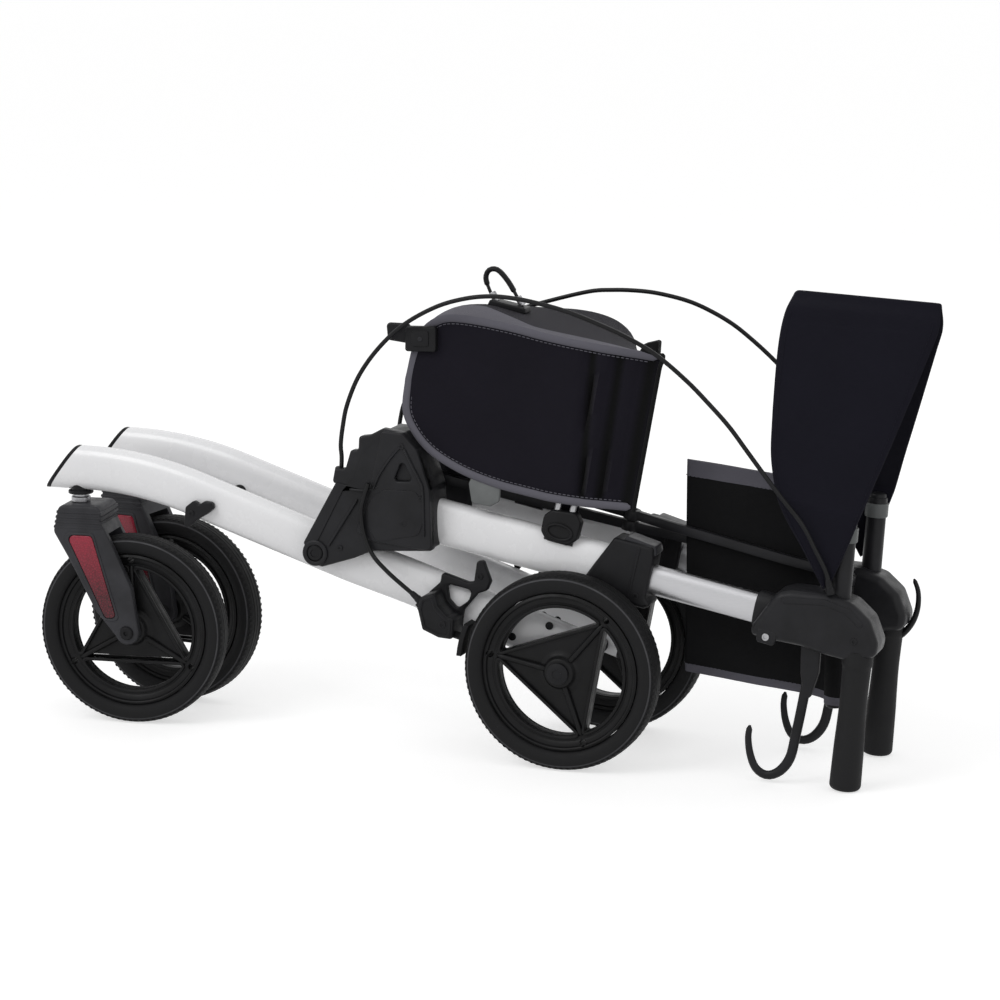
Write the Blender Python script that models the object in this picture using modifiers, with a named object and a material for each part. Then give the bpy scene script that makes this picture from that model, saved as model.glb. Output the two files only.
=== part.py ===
# A rollator that folds twice: side to side, and lengthwise with its handle columns swung down.
# It stands folded on its four wheels and the ends of its two grips.
# Metres, +Z up. The casters are towards -X, the handles towards +X, and the left side is at -Y.
# Each side piece is drawn once with its outer face towards +Y, and mirrored for the left side.
import math

import bmesh
import bpy
from mathutils import Matrix, Vector

MM = 0.001
GAP = 0.3 * MM

# Wheels
WHEEL_RADIUS = 100 * MM
TYRE_WIDTH = 30 * MM
TYRE_DEPTH = 20 * MM
WHEEL_SIDES = 24
HUB_RADIUS = 15 * MM
WINDOW_RADIUS = WHEEL_RADIUS - TYRE_DEPTH - 14 * MM
WINDOW_CHORD = 0.36 * WHEEL_RADIUS
SPOKE_HOLE_RADIUS = 3.5 * MM
SPOKE_HOLE_PLACE = WINDOW_RADIUS + 8 * MM
RIB_HEIGHT = 10 * MM
WEB_HALF = 6 * MM
REAR_WHEEL_HALF = 85 * MM
REAR_AXLE_RADIUS = 6 * MM
FRONT_AXLE_RADIUS = 4 * MM

# Casters
STEM_X = -536 * MM
STEM_HALF = 58 * MM
STEM_RADIUS = 6 * MM
TRAIL = 56 * MM
CASTER_TOE = math.radians(6)
FORK_ARM = 8 * MM
FORK_CLEARANCE = 3.5 * MM
CROWN_TOP = 232 * MM
STEM_FOOT = 204 * MM
WHEEL_CLEARANCE = 5 * MM
REFLECTOR_DEPTH = 2 * MM
REFLECTOR_BRIDGE = (7 * MM, 197 * MM)
BRIDGE_RADIUS = 2.5 * MM

# Side frames
TUBE_HEIGHT = 46 * MM
TUBE_WIDTH = 26 * MM
TUBE_WALL = 2 * MM
BASE_SLOPE = math.radians(18.4)
BASE_FRONT_Z = 268.5 * MM
BASE_BEND_RADIUS = 400 * MM
BASE_REAR_X = 23 * MM
BASE_REAR_HALF = 50 * MM
TOE_IN_START = -245 * MM
TOE_IN_END = -160 * MM
CAP_LEAN = math.radians(37.3)
CAP_THICKNESS = 4 * MM
BUSH_RADIUS = 10 * MM

# Folding hinge of the handle column
PIVOT_X = -263 * MM
PIVOT_Z = 201 * MM
PIN_RADIUS = 6 * MM
CHEEK_IN = 71.8 * MM
CHEEK_OUT = 84 * MM
SOCKET_WALL = 4.5 * MM

# Handle columns, in their own frame: u runs up the column from the pivot, n is square to it
COLUMN_SLOPE = math.radians(11.2)
COLUMN_OFFSET = 58 * MM
COLUMN_HALF = 52 * MM
HANDLE_HALF = 70 * MM
COLUMN_START = 62 * MM
COLUMN_END = 335 * MM
POST_HEIGHT = 30 * MM
POST_WIDTH = 18 * MM
POST_START = 190 * MM
POST_END = 520 * MM
GRIP_TOP_U = 560 * MM
GRIP_TOP_N = 46 * MM
GRIP_TILT = math.radians(6.7)
GRIP_RADIUS = 15.5 * MM
GRIP_ROUND = 5 * MM
ARM_RADIUS = 10 * MM
ARM_HALF = 66 * MM

# Cross brace, seat and backrest
BRACE_HALF = 16 * MM
BRACE_START = 75 * MM
BRACE_END = 513 * MM
BRACE_LOW = 92 * MM
BRACE_STEP = 11.5 * MM
BRACE_WIDTH = 8 * MM
BRACE_DEPTH = 10 * MM
BRACE_EYE_RAISE = 0.5 * MM
BRACE_PIN = 4 * MM
BRACE_BOW = 3.2 * MM
RAIL_RADIUS = 9 * MM
RAIL_LOW = 68 * MM
RAIL_HIGH = 299 * MM
OPENING = 280 * MM
SEAT_CLOTH = 2 * MM
SEAT_ABOVE_RAIL_END = 4 * MM
SEAT_BELOW_RAIL_TOP = 11 * MM
STRAP_CLOTH = 2.5 * MM
BAG_HALF = 70 * MM
BAG_WALL = 2.5 * MM

# Lock hook and brakes
HOOK_BOLT_RADIUS = 4 * MM
SHOE_ANGLE = math.radians(166)
SHOE_SPREAD = math.radians(9)
SHOE_GAP = 3 * MM
SHOE_THICK = 5 * MM
PLUNGER_RADIUS = 4 * MM
BRAKE_IN = BASE_REAR_HALF + TUBE_WIDTH / 2 + GAP
BRAKE_PLATE = 8 * MM
BRAKE_OUT = REAR_WHEEL_HALF + 12 * MM

# Lugs on the hinge housing that hold the cross brace
LUG_LOW = 78 * MM
LUG_HIGH = 117 * MM
LUG_IN = 7 * MM
SLOT_TRAVEL = 12 * MM
SLOT_REACH = BRACE_HALF + SLOT_TRAVEL + 9 * MM
RAIL_PLAY = 1.5 * MM
RAIL_EYE = 13 * MM

# Brake levers
LEVER_HALF = 4 * MM
LEVER_LOOP_RADIUS = 5 * MM
LEVER_PIVOT = (513 * MM, 39 * MM)
CABLE_RADIUS = 2.25 * MM

REAR_AXLE_Z = WHEEL_RADIUS
FRONT_AXLE_Z = WHEEL_RADIUS

# Colours as linear red, green, blue with roughness and metallic value
FINISHES = {
    "white_paint": ((0.80, 0.80, 0.81), 0.28, 0.0),
    "aluminium": ((0.60, 0.60, 0.61), 0.32, 1.0),
    "steel": ((0.45, 0.45, 0.46), 0.30, 1.0),
    "black_plastic": ((0.022, 0.022, 0.024), 0.45, 0.0),
    "grey_plastic": ((0.055, 0.055, 0.062), 0.42, 0.0),
    "tyre_rubber": ((0.016, 0.016, 0.017), 0.75, 0.0),
    "grip_rubber": ((0.020, 0.020, 0.021), 0.70, 0.0),
    "red_lens": ((0.30, 0.012, 0.030), 0.15, 0.0),
    "cable_sheath": ((0.014, 0.014, 0.015), 0.50, 0.0),
    "bag_cloth": ((0.018, 0.017, 0.022), 0.85, 0.0),
    "seat_cloth": ((0.020, 0.020, 0.022), 0.85, 0.0),
    "strap_cloth": ((0.012, 0.013, 0.020), 0.80, 0.0),
}


def clear_scene():
    for item in list(bpy.data.objects):
        bpy.data.objects.remove(item, do_unlink=True)


def make_material(name):
    colour, roughness, metallic = FINISHES[name]
    material = bpy.data.materials.new(name)
    material.use_nodes = True
    shader = material.node_tree.nodes["Principled BSDF"]
    shader.inputs["Base Color"].default_value = (*colour, 1.0)
    shader.inputs["Roughness"].default_value = roughness
    shader.inputs["Metallic"].default_value = metallic
    return material


# Points and outlines


def rounded(points, radius, step=math.radians(50)):
    """The closed outline with each corner turned into an arc of up to this radius."""
    corners = [Vector(p) for p in points]
    result = []
    for i, corner in enumerate(corners):
        before = corners[i - 1] - corner
        after = corners[(i + 1) % len(corners)] - corner
        angle = before.angle(after)
        turn = math.pi - angle
        if turn < math.radians(30):
            result.append(corner)
            continue
        reach = min(radius / math.tan(angle / 2), 0.45 * before.length, 0.45 * after.length)
        size = reach * math.tan(angle / 2)
        start = corner + before.normalized() * reach
        middle = (before.normalized() + after.normalized()).normalized()
        centre = corner + middle * (size / math.sin(angle / 2))
        count = max(1, round(turn / step))
        arm = start - centre
        sign = 1 if before.x * after.y - before.y * after.x < 0 else -1
        for k in range(count + 1):
            a = sign * turn * k / count
            spun = Vector((arm.x * math.cos(a) - arm.y * math.sin(a), arm.x * math.sin(a) + arm.y * math.cos(a)))
            result.append(centre + spun)
    return [(p.x, p.y) for p in result]


def filleted_path(points, radius, step=math.radians(8)):
    """An open path of 2D points, with its inner corners turned into arcs."""
    inner = [Vector(p) for p in points]
    result = [inner[0]]
    for before, corner, after in zip(inner, inner[1:], inner[2:]):
        a = (before - corner).normalized()
        b = (after - corner).normalized()
        angle = a.angle(b)
        turn = math.pi - angle
        reach = radius / math.tan(angle / 2)
        centre = corner + (a + b).normalized() * (radius / math.sin(angle / 2))
        arm = corner + a * reach - centre
        sign = 1 if a.x * b.y - a.y * b.x < 0 else -1
        count = max(2, round(turn / step))
        for k in range(count + 1):
            t = sign * turn * k / count
            spun = Vector((arm.x * math.cos(t) - arm.y * math.sin(t), arm.x * math.sin(t) + arm.y * math.cos(t)))
            result.append(centre + spun)
    result.append(inner[-1])
    return result


def smooth_path(points, spacing):
    """Points a spacing apart on a smooth curve through the given ones."""
    ends = [Vector(p) for p in points]
    ends = [2 * ends[0] - ends[1]] + ends + [2 * ends[-1] - ends[-2]]
    dense = []
    for p0, p1, p2, p3 in zip(ends, ends[1:], ends[2:], ends[3:]):
        for k in range(24):
            t = k / 24
            dense.append(
                0.5 * ((2 * p1) + (p2 - p0) * t + (2 * p0 - 5 * p1 + 4 * p2 - p3) * t * t
                       + (3 * p1 - p0 - 3 * p2 + p3) * t ** 3)
            )
    dense.append(ends[-2])
    lengths = [0.0]
    for a, b in zip(dense, dense[1:]):
        lengths.append(lengths[-1] + (b - a).length)
    count = max(2, round(lengths[-1] / spacing))
    result = []
    k = 0
    for i in range(count + 1):
        want = lengths[-1] * i / count
        while k < len(dense) - 2 and lengths[k + 1] < want:
            k += 1
        span = lengths[k + 1] - lengths[k]
        result.append(dense[k].lerp(dense[k + 1], (want - lengths[k]) / span if span else 0))
    return result


def inset(points, distance):
    """A counter-clockwise outline moved inwards by the same distance all round."""
    corners = [Vector(p) for p in points]
    result = []
    for i, corner in enumerate(corners):
        a = (corner - corners[i - 1]).normalized()
        b = (corners[(i + 1) % len(corners)] - corner).normalized()
        normal_a = Vector((-a.y, a.x))
        normal_b = Vector((-b.y, b.x))
        middle = (normal_a + normal_b).normalized()
        result.append(corner + middle * (distance / max(0.5, middle.dot(normal_a))))
    return [(p.x, p.y) for p in result]


def mm(points):
    return [tuple(value * MM for value in point) for point in points]


# Meshes from Blender's tools


def scratch_object(name, data):
    item = bpy.data.objects.new(name, data)
    bpy.context.scene.collection.objects.link(item)
    return item


def take_mesh(item, weld=True):
    """The object's evaluated mesh, moved to where the object is. The object is removed."""
    bpy.context.view_layer.update()
    graph = bpy.context.evaluated_depsgraph_get()
    mesh = bpy.data.meshes.new_from_object(item.evaluated_get(graph))
    mesh.transform(item.matrix_world)
    bpy.data.objects.remove(item, do_unlink=True)
    if weld:
        weld_mesh(mesh)
    return mesh


def weld_mesh(mesh, distance=0.02 * MM):
    shape = bmesh.new()
    shape.from_mesh(mesh)
    bmesh.ops.remove_doubles(shape, verts=shape.verts, dist=distance)
    bmesh.ops.dissolve_degenerate(shape, edges=shape.edges, dist=distance)
    bmesh.ops.recalc_face_normals(shape, faces=shape.faces)
    shape.to_mesh(mesh)
    shape.free()


def tidied(mesh):
    """The mesh with its flat areas joined again after Boolean cuts."""
    shape = bmesh.new()
    shape.from_mesh(mesh)
    bmesh.ops.dissolve_limit(
        shape, angle_limit=math.radians(0.3), verts=shape.verts, edges=shape.edges, use_dissolve_boundaries=False,
    )
    shape.to_mesh(mesh)
    shape.free()
    return mesh


def poly_curve(name, points, closed=False, dimensions="3D"):
    curve = bpy.data.curves.new(name, "CURVE")
    curve.dimensions = dimensions
    curve.render_resolution_u = 0
    spline = curve.splines.new("POLY")
    spline.points.add(len(points) - 1)
    for point, place in zip(spline.points, points):
        point.co = (*place, 1.0) if len(place) == 3 else (place[0], place[1], 0.0, 1.0)
    spline.use_cyclic_u = closed
    return curve


def side_plate(outline, low, high, bevel=0.0, rounds=1):
    """An XZ outline given thickness from y = low to y = high, with softened edges."""
    curve = poly_curve("plate", outline, closed=True, dimensions="2D")
    curve.fill_mode = "BOTH"
    curve.extrude = (high - low) / 2 - bevel
    curve.bevel_depth = bevel
    curve.bevel_resolution = rounds - 1
    curve.offset = -bevel
    item = scratch_object("plate", curve)
    item.matrix_world = Matrix.Translation((0, (low + high) / 2, 0)) @ Matrix.Rotation(math.pi / 2, 4, "X")
    return take_mesh(item)


def flat_plate(outline, low, high, bevel=0.0, rounds=1):
    """An XY outline given thickness from z = low to z = high."""
    mesh = side_plate([(x, -y) for x, y in outline], low, high, bevel, rounds)
    mesh.transform(Matrix.Rotation(math.pi / 2, 4, "X"))
    return mesh


def round_bar(points, radius, rounds=1):
    """A solid round bar, wire or cable along a path."""
    curve = poly_curve("bar", [tuple(p) for p in points])
    curve.bevel_depth = radius
    curve.bevel_resolution = rounds
    curve.use_fill_caps = True
    return take_mesh(scratch_object("bar", curve))


def cylinder(radius, start, end, sides=14):
    """A cylinder between two points."""
    start, end = Vector(start), Vector(end)
    axis = end - start
    shape = bmesh.new()
    bmesh.ops.create_cone(
        shape, cap_ends=True, segments=sides, radius1=radius, radius2=radius, depth=axis.length,
        matrix=Matrix.Translation((start + end) / 2) @ axis.to_track_quat("Z", "Y").to_matrix().to_4x4(),
    )
    mesh = bpy.data.meshes.new("cylinder")
    shape.to_mesh(mesh)
    shape.free()
    return mesh


def block(low, high):
    """A box between two corners."""
    low, high = Vector(low), Vector(high)
    shape = bmesh.new()
    size = Matrix.Diagonal((*(high - low), 1.0))
    bmesh.ops.create_cube(shape, size=1.0, matrix=Matrix.Translation((low + high) / 2) @ size)
    mesh = bpy.data.meshes.new("block")
    shape.to_mesh(mesh)
    shape.free()
    return mesh


def turned(profile, steps, axis="Y"):
    """A closed solid turned about an axis, from (radius, place) points. The ends may lie on the axis."""
    mesh = bpy.data.meshes.new("profile")
    shape = bmesh.new()
    verts = [shape.verts.new((radius, 0, place)) for radius, place in profile]
    closed = min(radius for radius, _ in profile) > 1e-6
    for a, b in zip(verts, verts[1:] + (verts[:1] if closed else [])):
        shape.edges.new((a, b))
    shape.to_mesh(mesh)
    shape.free()
    item = scratch_object("turned", mesh)
    screw = item.modifiers.new("turn", "SCREW")
    screw.steps = screw.render_steps = steps
    screw.use_merge_vertices = True
    screw.merge_threshold = 0.01 * MM
    if axis == "Y":
        item.matrix_world = Matrix.Rotation(-math.pi / 2, 4, "X")
    return take_mesh(item)


def oval_section(height, width, count=12, power=2.6):
    """A tube section between an ellipse and a rectangle."""
    points = []
    for i in range(count):
        angle = 2 * math.pi * i / count
        c, s = math.cos(angle), math.sin(angle)
        points.append((
            width / 2 * math.copysign(abs(c) ** (2 / power), c),
            height / 2 * math.copysign(abs(s) ** (2 / power), s),
        ))
    return points


def oval_sweep(path, height, width, capped, count=12):
    """A flattened oval section swept along a path, upright all the way."""
    guide = scratch_object("section", poly_curve("section", oval_section(height, width, count), True, "2D"))
    curve = poly_curve("sweep", [tuple(p) for p in path])
    curve.bevel_mode = "OBJECT"
    curve.bevel_object = guide
    curve.twist_mode = "Z_UP"
    curve.use_fill_caps = capped
    mesh = take_mesh(scratch_object("sweep", curve))
    bpy.data.objects.remove(guide, do_unlink=True)
    return mesh


def trimmed(mesh, point, normal):
    """A solid without what lies beyond a plane."""
    shape = bmesh.new()
    shape.from_mesh(mesh)
    geometry = shape.verts[:] + shape.edges[:] + shape.faces[:]
    cut = bmesh.ops.bisect_plane(shape, geom=geometry, plane_co=point, plane_no=normal, clear_outer=True)
    edges = [e for e in cut["geom_cut"] if isinstance(e, bmesh.types.BMEdge)]
    bmesh.ops.contextual_create(shape, geom=edges)
    bmesh.ops.recalc_face_normals(shape, faces=shape.faces)
    result = bpy.data.meshes.new("trimmed")
    shape.to_mesh(result)
    shape.free()
    return result


def beyond(point, normal):
    """A cutter for everything past a plane."""
    turn = normal.to_track_quat("Z", "Y").to_matrix().to_4x4()
    return moved(block((-0.15, -0.15, 0), (0.15, 0.15, 0.15)), Matrix.Translation(point) @ turn)


def walled(mesh, wall):
    """An open skin given a wall towards its inside."""
    middle = sum((v.co for v in mesh.vertices), Vector()) / len(mesh.vertices)
    outward = sum(p.normal.dot(p.center - middle) * p.area for p in mesh.polygons)
    if outward < 0:
        mesh.flip_normals()
    item = scratch_object("shell", mesh)
    solid = item.modifiers.new("wall", "SOLIDIFY")
    solid.thickness = wall
    solid.offset = -1
    solid.use_even_offset = True
    return take_mesh(item)


def combine(mesh, others, operation):
    for other in others:
        item = scratch_object("work", mesh)
        tool = scratch_object("tool", other)
        tool.hide_render = True
        tool.display_type = "WIRE"
        change = item.modifiers.new("change", "BOOLEAN")
        change.operation = operation
        change.object = tool
        mesh = take_mesh(item, weld=False)
        bpy.data.objects.remove(tool, do_unlink=True)
        weld_mesh(mesh, 0.002 * MM)
    return tidied(mesh)


def cut(mesh, *cutters):
    return combine(mesh, cutters, "DIFFERENCE")


def join(mesh, *others):
    return combine(mesh, others, "UNION")


def moved(mesh, matrix):
    copy = mesh.copy()
    copy.transform(matrix)
    return copy


def mirrored(mesh):
    copy = mesh.copy()
    copy.transform(Matrix.Scale(-1, 4, (0, 1, 0)))
    copy.flip_normals()
    return copy


# Where the driving sizes put things


def base_centre_z(x):
    """Height of the base tube's centre line on its sloping run, which passes through the pivot."""
    return PIVOT_Z - math.tan(BASE_SLOPE) * (x - PIVOT_X)


def base_centre_y(x):
    t = min(1, max(0, (x - TOE_IN_START) / (TOE_IN_END - TOE_IN_START)))
    return STEM_HALF + (BASE_REAR_HALF - STEM_HALF) * t * t * (3 - 2 * t)


CAP_X = STEM_X - 15 * MM
CAP_NORMAL = Vector((-math.cos(CAP_LEAN), 0, math.sin(CAP_LEAN)))
BRACE_LENGTH = math.hypot(BRACE_END - BRACE_START, 2 * BRACE_HALF)
BRACE_ANGLE = math.atan2(2 * BRACE_HALF, BRACE_END - BRACE_START)
COLUMN_TURN = Matrix.Rotation(COLUMN_SLOPE, 4, "Y")
RAIL_LEAN = Matrix.Rotation(-COLUMN_SLOPE, 4, "Y")


def column_to_world(u, n):
    place = COLUMN_TURN @ Vector((u, 0, n))
    return place.x + PIVOT_X, place.z + PIVOT_Z


def world_to_column(x, z):
    place = COLUMN_TURN.inverted() @ Vector((x - PIVOT_X, 0, z - PIVOT_Z))
    return place.x, place.z


# Wheels


def tyre_mesh():
    inner = WHEEL_RADIUS - TYRE_DEPTH
    half = TYRE_WIDTH / 2
    profile = [
        (inner, -half + 5 * MM), (inner + 6 * MM, -half), (WHEEL_RADIUS - 5 * MM, -half),
        (WHEEL_RADIUS, -half + 7 * MM),
    ]
    profile += [(radius, -place) for radius, place in reversed(profile)]
    return turned(profile[::-1], WHEEL_SIDES)


def web_triangle(first_window, distance):
    """The triangle whose sides lie this far from the hub, parallel to the window's chords."""
    corners = [first_window + math.pi / 3 + k * 2 * math.pi / 3 for k in range(3)]
    return [(2 * distance * math.cos(a), 2 * distance * math.sin(a)) for a in corners]


def rim_mesh(first_window, bore):
    """A moulded wheel: hub, rim ring, and a web that leaves three windows, with a raised rib along each."""
    outer = WHEEL_RADIUS - TYRE_DEPTH - GAP
    half = TYRE_WIDTH / 2
    profile = [(WINDOW_RADIUS, -WEB_HALF - 0.5 * MM), (WINDOW_RADIUS + 5 * MM, -half + 5 * MM), (outer, -half + 5 * MM)]
    profile += [(radius, -place) for radius, place in reversed(profile)]
    ring = turned(profile[::-1], WHEEL_SIDES)
    web = side_plate(web_triangle(first_window, WINDOW_CHORD), -WEB_HALF, WEB_HALF)
    frame = side_plate(web_triangle(first_window, WINDOW_CHORD - 1.5 * MM), -RIB_HEIGHT, RIB_HEIGHT)
    inside = side_plate(web_triangle(first_window, WINDOW_CHORD - 5.5 * MM), -RIB_HEIGHT - MM, RIB_HEIGHT + MM)
    hub = cylinder(HUB_RADIUS, (0, -half, 0), (0, half, 0), 16)
    mesh = join(ring, web, cut(frame, inside), hub)
    holes = []
    for k in range(3):
        angle = first_window + math.pi + k * 2 * math.pi / 3
        x, z = SPOKE_HOLE_PLACE * math.cos(angle), SPOKE_HOLE_PLACE * math.sin(angle)
        holes.append(cylinder(SPOKE_HOLE_RADIUS, (x, -half, z), (x, half, z), 6))
    return cut(mesh, *holes, cylinder(bore + GAP, (0, -half - MM, 0), (0, half + MM, 0)))


def rear_axle_mesh():
    """The rear axle with its spacer and cap, pressed into the block that plugs the tube's end."""
    tube_inner = BASE_REAR_HALF - TUBE_WIDTH / 2
    tube_outer = BASE_REAR_HALF + TUBE_WIDTH / 2
    wheel_inner = REAR_WHEEL_HALF - TYRE_WIDTH / 2
    wheel_outer = REAR_WHEEL_HALF + TYRE_WIDTH / 2
    r = REAR_AXLE_RADIUS
    profile = [
        (0, tube_inner - 5 * MM), (r + 4 * MM, tube_inner - 5 * MM), (r + 4 * MM, tube_inner - GAP),
        (r, tube_inner - GAP), (r, tube_outer + GAP), (r + 4 * MM, tube_outer + GAP),
        (r + 4 * MM, wheel_inner - GAP), (r, wheel_inner - GAP), (r, wheel_outer + GAP),
        (r + 5 * MM, wheel_outer + GAP), (r + 5 * MM, wheel_outer + 2 * MM), (r, wheel_outer + 4 * MM),
        (0, wheel_outer + 4 * MM),
    ]
    axle = moved(turned(profile[::-1], 12), Matrix.Translation((0, 0, REAR_AXLE_Z)))
    outside = trimmed(oval_sweep(base_path(), TUBE_HEIGHT, TUBE_WIDTH, True), *rear_plane(CAP_THICKNESS))
    near, along = rear_plane(GAP)
    outside = trimmed(outside, near, -along)
    core = trimmed(core_sweep(), *rear_plane(2 * MM))
    core = trimmed(core, Vector((-16 * MM, 0, 0)), Vector((-1, 0, 0)))
    return join(core, outside, axle)


# Casters, drawn about the stem's axis with the wheel trailing towards +X


def fork_outline():
    wheel_x = TRAIL
    bottom = [(wheel_x + 13 * MM * math.cos(a), FRONT_AXLE_Z + 13 * MM * math.sin(a))
              for a in [math.radians(d) for d in (20, -25, -70, -115, -160)]]
    top = mm([(-16, 0), (-22, -28), (-7, -54), (22, -110)])
    right = mm([(30, 0), (30, -17), (46, -50), (62, -86)])
    left_side = [(x, CROWN_TOP + z) for x, z in top]
    right_side = [(x, CROWN_TOP + z) for x, z in right]
    return left_side[::-1] + right_side + bottom


def fork_mesh():
    inner = TYRE_WIDTH / 2 + FORK_CLEARANCE
    outer = inner + FORK_ARM
    body = side_plate(rounded(fork_outline(), 5 * MM), -outer, outer, 2 * MM)
    slot = cylinder(WHEEL_RADIUS + WHEEL_CLEARANCE, (TRAIL, -inner, FRONT_AXLE_Z), (TRAIL, inner, FRONT_AXLE_Z), 40)
    stem = cylinder(STEM_RADIUS + GAP, (0, 0, STEM_FOOT - MM), (0, 0, CROWN_TOP + MM))
    axle = cylinder(FRONT_AXLE_RADIUS + GAP, (TRAIL, -outer - MM, FRONT_AXLE_Z),
                    (TRAIL, outer + MM, FRONT_AXLE_Z))
    x, z = REFLECTOR_BRIDGE
    bridge = cylinder(BRIDGE_RADIUS + GAP, (x, -outer - MM, z), (x, outer + MM, z), 12)
    body = cut(body, slot, stem, axle, bridge)
    for side in (-1, 1):
        low, high = sorted((side * (outer - REFLECTOR_DEPTH), side * (outer + MM)))
        body = cut(body, side_plate(reflector_outline(GAP), low, high))
    return body


def reflector_outline(grow):
    points = [(x * MM, CROWN_TOP + z * MM) for x, z in [(33, -117), (45, -117), (20, -31), (-7, -31)]]
    return rounded(inset(points, -grow), 4 * MM)


def reflector_mesh():
    """Both lenses of a fork, one moulding clipped through the crown above the wheel."""
    outer = TYRE_WIDTH / 2 + FORK_CLEARANCE + FORK_ARM
    x, z = REFLECTOR_BRIDGE
    reach = outer - REFLECTOR_DEPTH + MM
    lens = cylinder(BRIDGE_RADIUS, (x, -reach, z), (x, reach, z), 12)
    for side in (-1, 1):
        low, high = sorted((side * (outer - REFLECTOR_DEPTH + GAP), side * (outer + 0.8 * MM)))
        lens = join(lens, side_plate(reflector_outline(0), low, high, 0.6 * MM))
    return lens


def stem_mesh():
    """Caster stem with its lock nut between the fork and the tube."""
    tube_under = BASE_FRONT_Z - TUBE_HEIGHT / 2
    r = STEM_RADIUS
    profile = [
        (0, STEM_FOOT + 2 * MM), (r, STEM_FOOT + 2 * MM), (r, CROWN_TOP + GAP),
        (r + 4 * MM, CROWN_TOP + GAP), (r + 4 * MM, tube_under - 5 * MM), (r, tube_under - 5 * MM),
        (r, BASE_FRONT_Z + 12 * MM), (r - MM, BASE_FRONT_Z + 13 * MM), (0, BASE_FRONT_Z + 13 * MM),
    ]
    return turned(profile[::-1], 14, "Z")


def front_axle_mesh():
    outer = TYRE_WIDTH / 2 + FORK_CLEARANCE + FORK_ARM + GAP
    r = FRONT_AXLE_RADIUS
    profile = [
        (0, -outer - 2.5 * MM), (r + 2.5 * MM, -outer - 2.5 * MM),
        (r + 3.5 * MM, -outer), (r, -outer), (r, outer), (r + 3.5 * MM, outer),
        (r + 2.5 * MM, outer + 2.5 * MM), (0, outer + 2.5 * MM),
    ]
    return turned(profile[::-1], 14)


# Side frame


def base_path():
    corner_x = PIVOT_X - (BASE_FRONT_Z - PIVOT_Z) / math.tan(BASE_SLOPE)
    front = (CAP_X - 50 * MM, BASE_FRONT_Z)
    flat = filleted_path([front, (corner_x, BASE_FRONT_Z), (TOE_IN_START, base_centre_z(TOE_IN_START))],
                         BASE_BEND_RADIUS)
    count = 4
    for k in range(1, count + 1):
        x = TOE_IN_START + (TOE_IN_END - TOE_IN_START) * k / count
        flat.append(Vector((x, base_centre_z(x))))
    rear = BASE_REAR_X + 20 * MM
    flat.append(Vector((rear, base_centre_z(rear))))
    return [Vector((p.x, base_centre_y(p.x), p.y)) for p in flat]


def cap_plane(distance):
    """A point on the slanted front end's plane, moved outwards along it."""
    return Vector((CAP_X, 0, BASE_FRONT_Z)) + CAP_NORMAL * distance


def rear_plane(distance):
    along = Vector((math.cos(BASE_SLOPE), 0, -math.sin(BASE_SLOPE)))
    return Vector((BASE_REAR_X, 0, base_centre_z(BASE_REAR_X))) + along * distance, along


def base_tube_mesh():
    tube = walled(oval_sweep(base_path(), TUBE_HEIGHT, TUBE_WIDTH, False), TUBE_WALL)
    under = BASE_FRONT_Z - TUBE_HEIGHT / 2
    bush_hole = cylinder(BUSH_RADIUS + GAP, (STEM_X, STEM_HALF, under - 5 * MM),
                         (STEM_X, STEM_HALF, under + 15 * MM), 16)
    pin_hole = cylinder(PIN_RADIUS + GAP, (PIVOT_X, STEM_HALF - 20 * MM, PIVOT_Z),
                        (PIVOT_X, STEM_HALF + 20 * MM, PIVOT_Z))
    axle_hole = cylinder(REAR_AXLE_RADIUS + GAP, (0, BASE_REAR_HALF - 20 * MM, REAR_AXLE_Z),
                         (0, BASE_REAR_HALF + 20 * MM, REAR_AXLE_Z))
    hook = hook_bolt()
    hook_hole = cylinder(HOOK_BOLT_RADIUS + GAP, (hook[0], STEM_HALF - 20 * MM, hook[1]),
                         (hook[0], STEM_HALF + 20 * MM, hook[1]), 16)
    return cut(tube, beyond(cap_plane(0), CAP_NORMAL), beyond(*rear_plane(0)), bush_hole, pin_hole, axle_hole,
               hook_hole)


def core_sweep():
    """The space inside the base tube, less the fitting gap."""
    inside = 2 * (TUBE_WALL + 2 * GAP)
    return oval_sweep(base_path(), TUBE_HEIGHT - inside, TUBE_WIDTH - inside, True)


def front_fitting_mesh():
    """The tube's slanted cap, its core inside the tube and the caster's bearing bush, one moulding."""
    cap = trimmed(oval_sweep(base_path(), TUBE_HEIGHT, TUBE_WIDTH, True), cap_plane(CAP_THICKNESS), CAP_NORMAL)
    cap = trimmed(cap, cap_plane(GAP), -CAP_NORMAL)
    core = trimmed(core_sweep(), cap_plane(2 * MM), CAP_NORMAL)
    core = trimmed(core, Vector((STEM_X + 16 * MM, 0, 0)), Vector((1, 0, 0)))
    under = BASE_FRONT_Z - TUBE_HEIGHT / 2
    bush = turned([
        (0, BASE_FRONT_Z), (BUSH_RADIUS, BASE_FRONT_Z), (BUSH_RADIUS, under - 3 * GAP),
        (BUSH_RADIUS + 3 * MM, under - 3 * GAP), (BUSH_RADIUS + 3 * MM, under - 4.5 * MM), (0, under - 4.5 * MM),
    ], 16, "Z")
    bush = moved(bush, Matrix.Translation((STEM_X, STEM_HALF, 0)))
    bore = cylinder(STEM_RADIUS + GAP, (STEM_X, STEM_HALF, under - 10 * MM),
                    (STEM_X, STEM_HALF, BASE_FRONT_Z + 14 * MM))
    return cut(join(core, cap, bush), bore)


def hook_bolt():
    """Where the lock hook is screwed to the tube, on the front half's lower part."""
    return PIVOT_X - 138 * MM, PIVOT_Z + 31 * MM


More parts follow.
